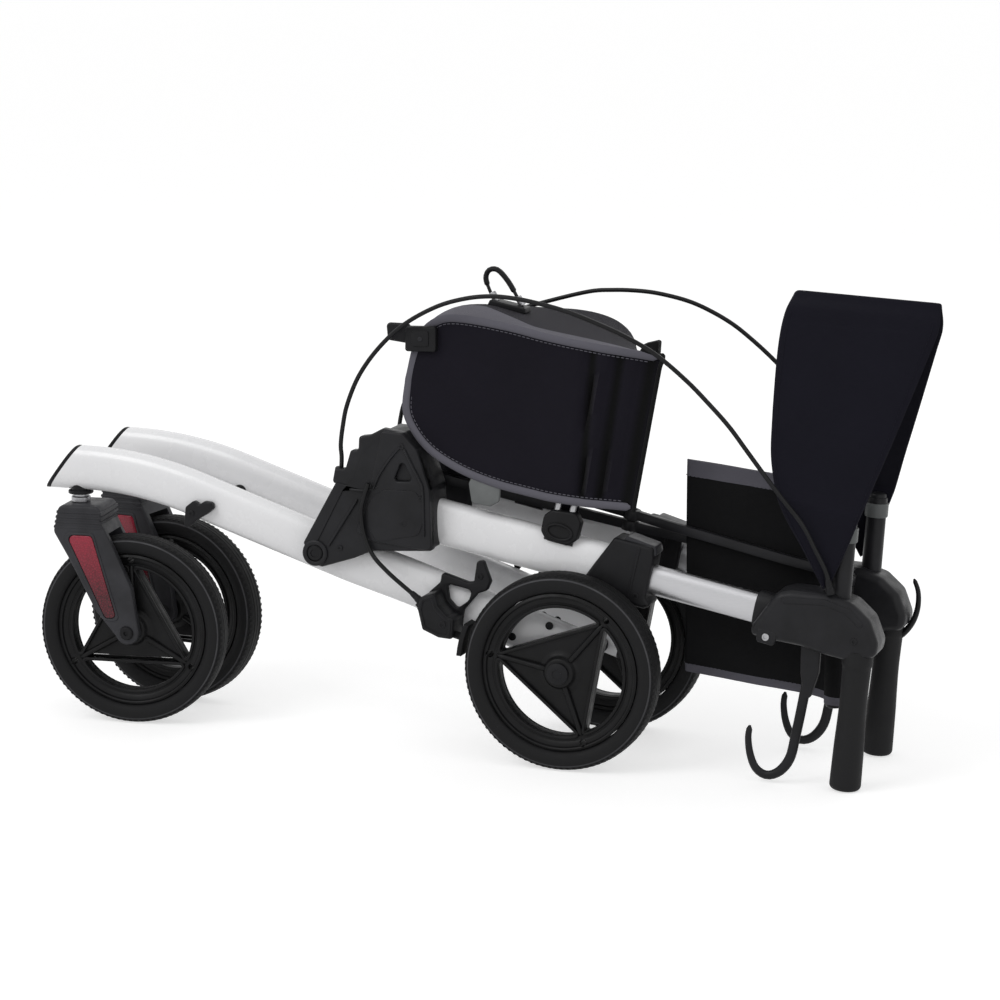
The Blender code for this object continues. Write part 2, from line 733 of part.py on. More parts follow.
def lock_hook_mesh():
    """The hook that the hinge housing's notch meets in use, with its screw through the tube."""
    outline = [(-147, 17), (-142, 16), (-131, 25), (-121, 31), (-114, 37), (-116, 43),
               (-124, 44), (-130, 40), (-136, 44), (-145, 37)]
    points = [(PIVOT_X + x * MM, PIVOT_Z + z * MM) for x, z in outline]
    outer = STEM_HALF + TUBE_WIDTH / 2 + GAP
    x, z = hook_bolt()
    hook = side_plate(rounded(points, 3 * MM), outer, CHEEK_OUT - 4 * MM, 1.5 * MM)
    inner = STEM_HALF - TUBE_WIDTH / 2 - GAP
    screw = cylinder(HOOK_BOLT_RADIUS, (x, inner - MM, z), (x, outer + 2 * MM, z), 16)
    head = cylinder(HOOK_BOLT_RADIUS + 3.5 * MM, (x, inner - 2.5 * MM, z), (x, inner, z), 16)
    return join(hook, screw, head)


def hinge_pin_mesh():
    """The pin that the column folds on, through the tube and the housing's cheek."""
    r = PIN_RADIUS
    tube_inner = STEM_HALF - TUBE_WIDTH / 2
    profile = [
        (0, tube_inner - 4 * MM), (r + 3 * MM, tube_inner - 4 * MM), (r + 3 * MM, tube_inner - GAP),
        (r, tube_inner - GAP), (r, CHEEK_OUT + GAP), (r + 2 * MM, CHEEK_OUT + GAP),
        (r + 2 * MM, CHEEK_OUT + 2 * MM), (r + MM, CHEEK_OUT + 3 * MM), (0, CHEEK_OUT + 3 * MM),
    ]
    return moved(turned(profile[::-1], 14), Matrix.Translation((PIVOT_X, 0, PIVOT_Z)))


# Brake on the rear wheel

# The wheel that the brake's outline is drawn for; its body moves out with a larger one
BRAKE_WHEEL = 100 * MM


def shoe_direction():
    """From the shoe towards the axle."""
    return Vector((-math.cos(SHOE_ANGLE), 0, -math.sin(SHOE_ANGLE)))


def brake_housing_mesh():
    """Bracket on the base tube's outer face, open in the middle, with the body that holds the plunger."""
    outline = mm([(-132, 187), (-134, 177), (-146, 166), (-149, 154), (-144, 133), (-127, 126), (-112, 125),
                  (-111, 140), (-109, 150), (-94, 168), (-84, 172), (-80, 181), (-88, 202), (-95, 201),
                  (-98, 180), (-104, 179)])
    hole = mm([(-127, 176), (-125, 160), (-116, 151), (-104, 160), (-100, 171)])
    body = mm([(-146, 166), (-149, 154), (-144, 133), (-127, 126), (-112, 125), (-111, 140), (-110, 147),
               (-117, 148), (-127, 158), (-131, 171)])
    growth = WHEEL_RADIUS - BRAKE_WHEEL
    rise = Vector((0, 0, growth)) - shoe_direction() * growth
    body = [(x + rise.x, z + rise.z) for x, z in body]
    plate = side_plate(rounded(outline, 3 * MM), BRAKE_IN, BRAKE_IN + BRAKE_PLATE, 1.5 * MM)
    block_part = side_plate(rounded(body, 3 * MM), BRAKE_IN + 1 * MM, BRAKE_OUT, 2 * MM)
    housing = join(plate, block_part)
    housing = cut(housing, side_plate(rounded(hole, 4 * MM), BRAKE_IN - 5 * MM, BRAKE_OUT + 5 * MM))
    start = Vector((0, 0, REAR_AXLE_Z)) - shoe_direction() * (WHEEL_RADIUS + 2 * MM)
    start.y = REAR_WHEEL_HALF
    hole_end = start - shoe_direction() * 30 * MM
    return cut(housing, cylinder(PLUNGER_RADIUS + 0.4 * MM, start, hole_end, 16))


def brake_shoe_mesh():
    """The pad that presses on the tyre, with the plunger that the cable pulls."""
    near = WHEEL_RADIUS + SHOE_GAP
    far = near + SHOE_THICK
    count = 5
    points = []
    for radius, angles in ((near, range(count)), (far, range(count - 1, -1, -1))):
        for i in angles:
            angle = SHOE_ANGLE - SHOE_SPREAD + 2 * SHOE_SPREAD * i / (count - 1)
            points.append((radius * math.cos(angle), REAR_AXLE_Z + radius * math.sin(angle)))
    pad = side_plate(points, REAR_WHEEL_HALF - 12 * MM, REAR_WHEEL_HALF + 12 * MM)
    hub = Vector((0, REAR_WHEEL_HALF, REAR_AXLE_Z))
    plunger = cylinder(PLUNGER_RADIUS, hub - shoe_direction() * (near + 2 * MM),
                       hub - shoe_direction() * (far + 18 * MM), 12)
    return join(pad, plunger)


# Hinge housing and handle column, in the column's frame

HOUSING_OUTLINE = [(-14, 5), (9, 76), (4, 80), (4, 90), (15, 93), (17, 113), (25, 115), (23, 129),
                   (34, 133), (46, 143), (68, 144), (86, 131), (107, 94), (121, 34), (58, 17), (41, 5),
                   (9, -13), (-9, -12)]
SOCKET_OUTLINE = [(38, 33), (58, 27), (121, 34), (107, 94), (86, 131), (68, 144), (46, 141), (44, 60)]


def socket_inner():
    return COLUMN_HALF - TUBE_WIDTH / 2 - SOCKET_WALL


def housing_mesh():
    """One moulding: outer cheek with the pivot ring, column socket, toothed crown and the brace's clevis."""
    column_top = socket_inner()
    cheek = side_plate(rounded(mm(HOUSING_OUTLINE), 4 * MM), CHEEK_IN, CHEEK_OUT, 2 * MM)
    socket = side_plate(rounded(mm(SOCKET_OUTLINE), 5 * MM), column_top, CHEEK_OUT + 2 * MM, 2.5 * MM)
    ring = turned([(12 * MM, CHEEK_OUT - 2 * MM), (12 * MM, CHEEK_OUT + 2 * MM), (10 * MM, CHEEK_OUT + 2.5 * MM),
                   (8.8 * MM, CHEEK_OUT + 2 * MM), (8.8 * MM, CHEEK_OUT - 2 * MM)][::-1], 16)
    flange = cylinder(5 * MM, (8 * MM, (CHEEK_IN + CHEEK_OUT) / 2, 78 * MM),
                      (9 * MM, (CHEEK_IN + CHEEK_OUT) / 2, 92 * MM), 12)
    lug = block((BRACE_START - 12 * MM, LUG_IN, LUG_LOW), (BRACE_START + 12 * MM, column_top + 3 * MM, LUG_HIGH))
    housing = join(cheek, socket, ring, flange, lug)
    window = mm([(70, 90), (92, 95), (78, 117)])
    pin = cylinder(PIN_RADIUS + GAP, (0, CHEEK_IN - 5 * MM, 0), (0, CHEEK_OUT + 8 * MM, 0))
    bore = oval_sweep([Vector((COLUMN_START - GAP, COLUMN_HALF, COLUMN_OFFSET)),
                       Vector((COLUMN_START + 90 * MM, COLUMN_HALF, COLUMN_OFFSET))],
                      TUBE_HEIGHT + 2 * GAP, TUBE_WIDTH + 2 * GAP, True)
    slot = block((BRACE_START - 30 * MM, -5 * MM, BRACE_LOW - BRACE_DEPTH / 2 - GAP),
                 (BRACE_START + 30 * MM, SLOT_REACH, BRACE_LOW + BRACE_STEP + BRACE_DEPTH / 2 + GAP))
    track_half = BRACE_PIN + GAP
    track = flat_plate(
        rounded([(BRACE_START - track_half, BRACE_HALF - track_half),
                 (BRACE_START + track_half, BRACE_HALF - track_half),
                 (BRACE_START + track_half, BRACE_HALF + SLOT_TRAVEL + track_half),
                 (BRACE_START - track_half, BRACE_HALF + SLOT_TRAVEL + track_half)], 4 * MM),
        LUG_LOW - 5 * MM, LUG_HIGH + 5 * MM)
    return cut(housing, side_plate(rounded(window, 2 * MM), CHEEK_OUT - 8 * MM, CHEEK_OUT + 8 * MM),
               pin, bore, slot, track)


def straight_tube(start, end, height, width, wall, count=12):
    skin = oval_sweep([Vector((start, COLUMN_HALF, COLUMN_OFFSET)), Vector((end, COLUMN_HALF, COLUMN_OFFSET))],
                      height, width, False, count)
    return walled(skin, wall)


def column_tube_mesh():
    return straight_tube(COLUMN_START, COLUMN_END, TUBE_HEIGHT, TUBE_WIDTH, TUBE_WALL)


def post_tube_mesh():
    return straight_tube(POST_START, POST_END, POST_HEIGHT, POST_WIDTH, 1.8 * MM)


def collar_mesh():
    """The clamp at the column's upper end, which holds the sliding post."""
    half = TUBE_WIDTH / 2 + 3 * MM
    top = COLUMN_OFFSET + TUBE_HEIGHT / 2
    low = COLUMN_OFFSET - TUBE_HEIGHT / 2
    end = COLUMN_END + 6 * MM
    outline = [(end - 43 * MM, top + 12 * MM), (end - 2 * MM, top + 12 * MM), (end, top),
               (end, low + 6 * MM), (end + 7 * MM, low), (end, low - 5 * MM),
               (end - 72 * MM, low - 4 * MM), (end - 59 * MM, COLUMN_OFFSET + 2 * MM)]
    body = side_plate(rounded(outline, 4 * MM), COLUMN_HALF - half, COLUMN_HALF + half, 3 * MM)
    wide = oval_sweep([Vector((end - 110 * MM, COLUMN_HALF, COLUMN_OFFSET)),
                       Vector((COLUMN_END + GAP, COLUMN_HALF, COLUMN_OFFSET))],
                      TUBE_HEIGHT + 2 * GAP, TUBE_WIDTH + 2 * GAP, True)
    narrow = oval_sweep([Vector((end - 30 * MM, COLUMN_HALF, COLUMN_OFFSET)),
                         Vector((end + 30 * MM, COLUMN_HALF, COLUMN_OFFSET))],
                        POST_HEIGHT + 1 * MM, POST_WIDTH + 1 * MM, True)
    return cut(body, wide, narrow)


# Handle, on the sliding post


def bracket_mesh():
    outline = mm([(455, 38), (453, 46), (471, 86), (484, 92), (522, 98), (546, 95), (566, 83), (579, 62),
                  (579, 48), (549, 38), (528, 38), (505, 40), (475, 38)])
    inner = COLUMN_HALF - POST_WIDTH / 2 - 1.7 * MM
    outer = HANDLE_HALF + 14 * MM
    body = side_plate(rounded(outline, 6 * MM), inner, outer, 4 * MM)
    bore = oval_sweep([Vector((430 * MM, COLUMN_HALF, COLUMN_OFFSET)),
                       Vector((POST_END + GAP, COLUMN_HALF, COLUMN_OFFSET))],
                      POST_HEIGHT + 2 * GAP, POST_WIDTH + 2 * GAP, True)
    arm_low, arm_high = arm_ends()
    direction = (arm_high - arm_low).normalized()
    socket = cylinder(ARM_RADIUS + GAP, arm_low - direction * GAP, arm_low + direction * 30 * MM, 16)
    slot_half = LEVER_HALF + 0.5 * MM
    slot = block((498 * MM, HANDLE_HALF - slot_half, 20 * MM), (530 * MM, HANDLE_HALF + slot_half, 50 * MM))
    return cut(body, bore, socket, slot)


def grip_axis():
    """Top and bottom of the grip's axis, in the column's frame. The grip's end stands on the floor."""
    lean = COLUMN_SLOPE - GRIP_TILT
    flat = GRIP_RADIUS - GRIP_ROUND
    end_z = flat * math.sin(lean) + GRIP_ROUND * (1 - math.cos(lean))
    top_x, top_z = column_to_world(GRIP_TOP_U, GRIP_TOP_N)
    end_x = top_x - (top_z - end_z) * math.tan(lean)
    end = world_to_column(end_x, end_z)
    return Vector((GRIP_TOP_U, HANDLE_HALF, GRIP_TOP_N)), Vector((end[0], HANDLE_HALF, end[1]))


def grip_mesh():
    top, end = grip_axis()
    length = (end - top).length
    r = GRIP_RADIUS
    profile = [(0, 0)]
    for k in range(3):
        a = math.radians(45 * k)
        profile.append((r - GRIP_ROUND + GRIP_ROUND * math.sin(a), GRIP_ROUND - GRIP_ROUND * math.cos(a)))
    profile += [(r - 0.5 * MM, length * 0.35), (r - 2 * MM, length * 0.65), (r - 1.5 * MM, length - 14 * MM),
                (r - 0.5 * MM, length - 12 * MM), (r - 0.5 * MM, length - 8.5 * MM), (0, length - 8.5 * MM)]
    mesh = turned(profile[::-1], 14, "Z")
    turn = (top - end).to_track_quat("Z", "Y").to_matrix().to_4x4()
    return moved(mesh, Matrix.Translation(end) @ turn)


def lever_mesh():
    """The brake lever: a flat root in the bracket's slot and a hooked finger loop."""
    root = mm([(503, 45), (523, 45), (527, 17), (524, -10), (518, -12), (509, 13)])
    path = mm([(517, 0), (517.5, -28), (517.5, -52), (516.8, -75), (509.5, -91), (498, -98.5), (486, -95),
               (477.5, -83), (472, -67), (471, -54)])
    plate = side_plate(rounded(root, 4 * MM), HANDLE_HALF - LEVER_HALF, HANDLE_HALF + LEVER_HALF, 1.5 * MM)
    loop = round_bar(smooth_path([Vector((u, 0, n)) for u, n in path], 17 * MM), LEVER_LOOP_RADIUS)
    flat = Matrix.Diagonal((1, LEVER_HALF / LEVER_LOOP_RADIUS, 1, 1))
    return join(plate, moved(loop, Matrix.Translation((0, HANDLE_HALF, 0)) @ flat))


def arm_ends():
    low = Vector((532 * MM, ARM_HALF, 85 * MM))
    high = Vector((521 * MM, ARM_HALF, 169 * MM))
    return low, high


def backrest_arm_mesh():
    low, high = arm_ends()
    direction = (high - low).normalized()
    bar = cylinder(ARM_RADIUS, low, high, 16)
    cap = cylinder(ARM_RADIUS - 1.5 * MM, high - direction * 2 * MM, high + direction * 4 * MM, 16)
    return join(bar, cap)


# Cross brace, drawn along +X from its lower pivot


def brace_bar_mesh(pinned):
    """A flat bar with eyes at both ends and the middle. The pinned one carries the middle pin."""
    half_depth = BRACE_DEPTH / 2
    bar_half = half_depth - BRACE_EYE_RAISE
    bow = BRACE_BOW if pinned else -BRACE_BOW
    middle_x = BRACE_LENGTH / 2
    line = [Vector(p) for p in ((0, 0), (middle_x + 8 * MM, 0), (middle_x + 42 * MM, bow),
                                (BRACE_LENGTH - 60 * MM, bow), (BRACE_LENGTH - 22 * MM, 0), (BRACE_LENGTH, 0))]
    bar = flat_plate(cloth_outline(line, BRACE_WIDTH), -bar_half, bar_half)
    middle = cylinder(8.5 * MM, (middle_x, 0, -half_depth), (middle_x, 0, half_depth))
    top = cylinder(RAIL_EYE, (BRACE_LENGTH, 0, -half_depth), (BRACE_LENGTH, 0, half_depth), 18)
    low = cylinder(8 * MM, (0, 0, -half_depth), (0, 0, half_depth))
    bar = join(bar, middle, top, low)
    bar = cut(bar, cylinder(RAIL_RADIUS + RAIL_PLAY, (BRACE_LENGTH, 0, -20 * MM), (BRACE_LENGTH, 0, 20 * MM), 18))
    pin_low = LUG_LOW if pinned else LUG_LOW - BRACE_STEP
    pin_high = LUG_HIGH if pinned else LUG_HIGH - BRACE_STEP
    pivot = cylinder(BRACE_PIN, (0, 0, pin_low - BRACE_LOW - 2 * MM), (0, 0, pin_high - BRACE_LOW + 2 * MM), 12)
    bar = join(bar, pivot)
    if pinned:
        pin = cylinder(BRACE_PIN, (middle_x, 0, 0), (middle_x, 0, BRACE_STEP + half_depth + 1.5 * MM), 12)
        return join(bar, pin)
    return cut(bar, cylinder(BRACE_PIN + GAP, (middle_x, 0, -20 * MM), (middle_x, 0, 20 * MM), 12))


def rail_axis_height(level):
    """Height of the point where a rail meets its brace bar, at rest."""
    return column_to_world(BRACE_END, level)[1]


def rail_mesh(level):
    """A seat rail, upright at rest, about the point where it meets its bar, with a stop ring above the bar."""
    height = rail_axis_height(level)
    low = RAIL_LOW - height
    high = RAIL_HIGH - height
    r = RAIL_RADIUS
    ring = BRACE_DEPTH / 2 / math.cos(COLUMN_SLOPE) + RAIL_EYE * math.tan(COLUMN_SLOPE)
    profile = [(0, low), (r - MM, low), (r, low + MM), (r, ring + 0.6 * MM), (r + 3.5 * MM, ring + 0.6 * MM),
               (r + 3.5 * MM, ring + 3.4 * MM), (r, ring + 3.4 * MM), (r, high - MM), (r - MM, high), (0, high)]
    return turned(profile[::-1], 12, "Z")


def sleeve_cloth(level):
    """The sleeve round the rail and the flat cloth below it, in plan, as one outline of even thickness."""
    height = rail_axis_height(level)
    low = RAIL_LOW + SEAT_ABOVE_RAIL_END - height
    high = RAIL_HIGH - SEAT_BELOW_RAIL_TOP - height
    inner = BRACE_HALF - GAP
    clear = RAIL_RADIUS + GAP
    cloth = SEAT_CLOTH
    middle = clear + cloth / 2
    line = []
    for i in range(15):
        angle = math.radians(150 - 294 * i / 14)
        line.append(Vector((middle * math.cos(angle), middle * math.sin(angle))))
    tail_y = -(inner - cloth / 2)
    hang = BRACE_HALF + OPENING / 2 - GAP
    line += [Vector((-20 * MM, tail_y + 2.5 * MM)), Vector((-34 * MM, tail_y)), Vector((-hang, tail_y))]
    return line, low, high


def cloth_outline(line, thickness):
    """A closed outline of even thickness along an open line."""
    left = []
    right = []
    for i, point in enumerate(line):
        before = line[max(0, i - 1)]
        after = line[min(len(line) - 1, i + 1)]
        direction = (after - before).normalized()
        normal = Vector((-direction.y, direction.x)) * thickness / 2
        left.append(point + normal)
        right.append(point - normal)
    return [(p.x, p.y) for p in left + right[::-1]]


def seat_cloth_mesh(level):
    line, low, high = sleeve_cloth(level)
    mesh = flat_plate(cloth_outline(line, SEAT_CLOTH), low, high)
    eye = RAIL_EYE + 3 * MM
    shear = Matrix.Identity(4)
    shear[2][0] = -math.tan(math.radians(6))
    mesh.transform(shear)
    # The sleeve is open where the bar's eye and the stop ring sit
    half = BRACE_DEPTH / 2 + 5 * MM
    notch = block((-eye, -eye - 4 * MM, -half), (eye + 3 * MM, eye + 4 * MM, half + 6 * MM))
    return cut(mesh, notch)


# Backrest strap, bag and cables


def strap_half_mesh():
    """Half of the backrest strap, from beside its arm up to the fold in the middle, as a bent sheet."""
    left = mm([(515, 101), (488, 132), (459, 165), (436, 205), (424, 245), (411, 304), (407, 340), (410, 364)])
    right = mm([(520, 107), (528, 140), (535, 180), (540, 218), (546, 262), (555, 333), (558, 362), (553, 385)])
    outer = ARM_HALF + ARM_RADIUS + 1.8 * MM
    tip = arm_ends()[1].z + 8 * MM
    rows = 12
    columns = 3
    shape = bmesh.new()
    bmesh.ops.create_grid(shape, x_segments=columns, y_segments=rows, size=0.5)
    left_line = smooth_path([Vector((u, n, 0)) for u, n in left], 0.5)
    for vert in shape.verts:
        across = vert.co.x + 0.5
        along = vert.co.y + 0.5
        a = point_on(left, along)
        b = point_on(right, along)
        p = a.lerp(b, across)
        rise = max(0.0, (p.y - tip) / (right[-1][1] - tip))
        vert.co = (p.x, outer - (outer - STRAP_CLOTH - GAP) * rise ** 0.9, p.y)
    mesh = bpy.data.meshes.new("strap")
    shape.to_mesh(mesh)
    shape.free()
    item = scratch_object("strap", mesh)
    solid = item.modifiers.new("cloth", "SOLIDIFY")
    solid.thickness = STRAP_CLOTH
    solid.offset = 0
    return take_mesh(item)


def point_on(points, t):
    """A point at share t of the way along a chain of 2D points, by index."""
    place = t * (len(points) - 1)
    i = min(int(place), len(points) - 2)
    return Vector(points[i]).lerp(Vector(points[i + 1]), place - i)


BAG_OUTLINE = [(310, 123), (307, 281), (239, 277), (194, 275), (147, 275), (97, 271), (77, 262), (64, 240),
               (61, 195), (63, 163), (74, 145), (96, 128), (131, 117), (168, 112.5), (203, 112.5), (238, 114)]


def bag_mesh():
    """The bag between the columns: a shell open at its upper end, with a clip down to the left column."""
    outline = mm(BAG_OUTLINE)
    outer = side_plate(rounded(outline, 6 * MM), -BAG_HALF, BAG_HALF, 3 * MM)
    hollow = inset(outline, BAG_WALL)
    hollow[0] = (hollow[0][0] + 60 * MM, hollow[0][1])
    hollow[1] = (hollow[1][0] + 60 * MM, hollow[1][1])
    inside = side_plate(hollow, -BAG_HALF + BAG_WALL, BAG_HALF - BAG_WALL)
    bag = cut(outer, inside)
    top = COLUMN_OFFSET + TUBE_HEIGHT / 2 + GAP
    clip = block((228 * MM, 1 * MM - COLUMN_HALF, top), (258 * MM, 9 * MM - COLUMN_HALF, 115 * MM))
    return join(bag, clip)


def bag_loop_mesh():
    """The carrying loop that stands on the bag."""
    path = mm([(112, 278), (104, 288), (97, 300), (99, 309), (108, 311), (121, 302), (134, 288), (142, 279)])
    loop = round_bar(smooth_path([Vector((u, 0, n)) for u, n in path], 9 * MM), 3.5 * MM)
    foot = block((110 * MM, -12 * MM, 275.6 * MM), (146 * MM, 12 * MM, 280.5 * MM))
    return join(loop, foot)


# Route points of the upper cables in the column's frame: up the column, and how far out from the middle
LEFT_UPPER_CABLE = [(523, 100, 82), (507, 134, 86), (491, 155, 88), (459, 186, 88), (427, 212, 88), (392, 241, 88),
                    (351, 266, 88), (313, 286, 88), (280, 300, 87), (236, 309, 86), (189, 308, 86),
                    (140, 302, 86), (101, 290, 86), (72, 271, 86), (46, 248, 85), (28, 224, 83), (15, 199, 81),
                    (8, 165, 79), (8, 130, 78), (9, 92.3, 78)]
RIGHT_UPPER_CABLE = [(523, 100, 82), (509, 140, 86), (487, 187, 88), (455, 226, 88), (422, 254, 88), (390, 275, 88),
                     (353, 294, 87), (314, 307, 86), (276, 316, 86), (237, 313, 86), (198, 302, 86),
                     (154, 288, 86), (105, 266, 86), (68, 236, 86), (38, 202, 84), (18, 165, 80), (9, 130, 78),
                     (9, 92.3, 78)]
# Route points of a lower cable, in the folded frame
LOWER_CABLE = [(-203, 277, 89.5), (-208, 262, 89.5), (-211, 247, 89.5), (-208, 225, 89.5), (-199, 204, 89),
               (-184, 188, 88), (-169, 175, 86), (-157, 165, 84), (-149.3, 158, 83)]


def upper_cable_mesh(points):
    route = [Vector((u * MM, y * MM, n * MM)) for u, n, y in points]
    return round_bar(smooth_path(route, 34 * MM), CABLE_RADIUS)


def lower_cable_mesh():
    route = [Vector((x * MM, y * MM, z * MM)) for x, z, y in LOWER_CABLE]
    return round_bar(smooth_path(route, 16 * MM), CABLE_RADIUS)


# Assembly


def make_empty(name, parent, place, turn=None):
    empty = bpy.data.objects.new(name, None)
    empty.empty_display_size = 0.02
    empty.matrix_local = Matrix.Translation(place) @ (turn or Matrix.Identity(4))
    if parent:
        empty.parent = parent
    collection.objects.link(empty)
    return empty


def add_node(name, mesh, finish, parent):
    mesh.name = name
    mesh.materials.clear()
    mesh.materials.append(materials[finish])
    mesh.shade_smooth()
    mesh.set_sharp_from_angle(angle=math.radians(35))
    item = bpy.data.objects.new(name, mesh)
    item.parent = parent
    collection.objects.link(item)
    return item


def add_pair(name, mesh, finish, parents, origin=(0, 0, 0)):
    """A piece for each side. The origin is where the right parent stands in the frame the mesh is drawn in."""
    mesh = moved(mesh, Matrix.Translation(-Vector(origin)))
    add_node("right_" + name, mesh, finish, parents["right"])
    add_node("left_" + name, mirrored(mesh), finish, parents["left"])


def make_pair(name, parents, place, origin=(0, 0, 0)):
    """An empty on each side at this place, in the frame that the parents' origin is given in."""
    gap = Vector(place) - Vector(origin)
    return {s: make_empty(s + "_" + name, parents[s], (gap.x, sign * gap.y, gap.z)) for s, sign in SIDES.items()}


clear_scene()
collection = bpy.data.collections.new("folding_rollator")
bpy.context.scene.collection.children.link(collection)
materials = {name: make_material(name) for name in FINISHES}

front_reach = STEM_X + TRAIL * math.cos(CASTER_TOE) - WHEEL_RADIUS * math.cos(CASTER_TOE) \
    - TYRE_WIDTH / 2 * math.sin(CASTER_TOE)
strap_corner = column_to_world(557 * MM, 388 * MM)[0]
middle_x = (front_reach + strap_corner) / 2
root = make_empty("rollator", None, (-middle_x, 0, 0))

SIDES = {"left": -1, "right": 1}
base = {s: make_empty(s + "_base", root, (0, 0, 0)) for s in SIDES}
caster = {
    s: make_empty(s + "_caster", base[s], (STEM_X, sign * STEM_HALF, 0),
                  Matrix.Rotation(-sign * CASTER_TOE, 4, "Z"))
    for s, sign in SIDES.items()
}
front_wheel = {s: make_empty(s + "_front_wheel", caster[s], (TRAIL, 0, FRONT_AXLE_Z)) for s in SIDES}
rear_wheel = {
    s: make_empty(s + "_rear_wheel", base[s], (0, sign * REAR_WHEEL_HALF, REAR_AXLE_Z))
    for s, sign in SIDES.items()
}
column = {s: make_empty(s + "_column", root, (PIVOT_X, 0, PIVOT_Z), COLUMN_TURN) for s in SIDES}
SHOE_PLACE = Vector((0, REAR_WHEEL_HALF, REAR_AXLE_Z)) - shoe_direction() * (WHEEL_RADIUS + SHOE_GAP)
POST_PLACE = (POST_START, COLUMN_HALF, COLUMN_OFFSET)
LEVER_PLACE = (LEVER_PIVOT[0], HANDLE_HALF, LEVER_PIVOT[1])
STRAP_PLACE = (arm_ends()[1].x, ARM_HALF + ARM_RADIUS + 1.8 * MM, arm_ends()[1].z + 8 * MM)
brake = make_pair("brake", base, SHOE_PLACE)
post = make_pair("post", column, POST_PLACE)
lever = make_pair("lever", post, LEVER_PLACE, POST_PLACE)
strap = make_pair("strap", post, STRAP_PLACE, POST_PLACE)

# Side frames
add_pair("base_tube", base_tube_mesh(), "white_paint", base)
add_pair("front_fitting", front_fitting_mesh(), "black_plastic", base)
add_pair("lock_hook", lock_hook_mesh(), "black_plastic", base)
add_pair("hinge_pin", hinge_pin_mesh(), "steel", base)
add_pair("rear_axle", rear_axle_mesh(), "black_plastic", base)
add_pair("brake_housing", brake_housing_mesh(), "black_plastic", base)
add_pair("brake_shoe", brake_shoe_mesh(), "tyre_rubber", brake, SHOE_PLACE)
add_pair("lower_cable", lower_cable_mesh(), "cable_sheath", base)

# Casters and wheels
add_pair("caster_stem", stem_mesh(), "steel", caster)
add_pair("fork", fork_mesh(), "grey_plastic", caster)
add_pair("reflectors", reflector_mesh(), "red_lens", caster)
add_pair("front_axle", moved(front_axle_mesh(), Matrix.Translation((TRAIL, 0, FRONT_AXLE_Z))), "steel", caster)
add_pair("front_tyre", tyre_mesh(), "tyre_rubber", front_wheel)
add_pair("front_rim", rim_mesh(math.radians(30), FRONT_AXLE_RADIUS), "black_plastic", front_wheel)
add_pair("rear_tyre", tyre_mesh(), "tyre_rubber", rear_wheel)
add_pair("rear_rim", rim_mesh(math.radians(-10.5), REAR_AXLE_RADIUS), "black_plastic", rear_wheel)

# Handle columns
add_pair("hinge_housing", housing_mesh(), "grey_plastic", column)
add_pair("column_tube", column_tube_mesh(), "white_paint", column)
add_pair("collar", collar_mesh(), "black_plastic", column)
add_pair("post_tube", post_tube_mesh(), "aluminium", post, POST_PLACE)
add_pair("handle_bracket", bracket_mesh(), "grey_plastic", post, POST_PLACE)
add_pair("grip", grip_mesh(), "grip_rubber", post, POST_PLACE)
add_pair("brake_lever", lever_mesh(), "grey_plastic", lever, LEVER_PLACE)
add_pair("backrest_arm", backrest_arm_mesh(), "grey_plastic", post, POST_PLACE)
add_pair("strap_half", strap_half_mesh(), "strap_cloth", strap, STRAP_PLACE)
add_node("left_upper_cable", mirrored(upper_cable_mesh(LEFT_UPPER_CABLE)), "cable_sheath", column["left"])
add_node("right_upper_cable", upper_cable_mesh(RIGHT_UPPER_CABLE), "cable_sheath", column["right"])

# Cross brace, rails and seat
brace_a = make_empty("brace_a", column["left"], (BRACE_START, -BRACE_HALF, BRACE_LOW),
                     Matrix.Rotation(BRACE_ANGLE, 4, "Z"))
brace_b = make_empty("brace_b", column["left"], (BRACE_START, BRACE_HALF, BRACE_LOW + BRACE_STEP),
                     Matrix.Rotation(-BRACE_ANGLE, 4, "Z"))
add_node("brace_bar_a", brace_bar_mesh(True), "grey_plastic", brace_a)
add_node("brace_bar_b", brace_bar_mesh(False), "grey_plastic", brace_b)
rails = {}
for side, sign, level in (("right", 1, BRACE_LOW), ("left", -1, BRACE_LOW + BRACE_STEP)):
    rails[side] = make_empty(side + "_rail", column["left"], (BRACE_END, sign * BRACE_HALF, level), RAIL_LEAN)
    rail = rail_mesh(level)
    seat = seat_cloth_mesh(level)
    if side == "left":
        rail = mirrored(rail)
        seat = mirrored(seat)
    add_node(side + "_seat_rail", rail, "grey_plastic", rails[side])
    add_node(side + "_seat_half", seat, "seat_cloth", rails[side])

# Bag
add_node("bag", bag_mesh(), "bag_cloth", column["left"])
add_node("bag_loop", bag_loop_mesh(), "black_plastic", column["left"])

bpy.context.view_layer.update()
nodes = [item for item in collection.objects if item.type == "MESH"]
print("nodes", len(nodes), "triangles", sum(len(p.vertices) - 2 for item in nodes for p in item.data.polygons))
print("middle_x", round(middle_x, 5))
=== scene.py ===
# A rollator folded side to side and lengthwise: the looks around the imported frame
import math

import bmesh
import bpy
from mathutils import Matrix, Vector, noise


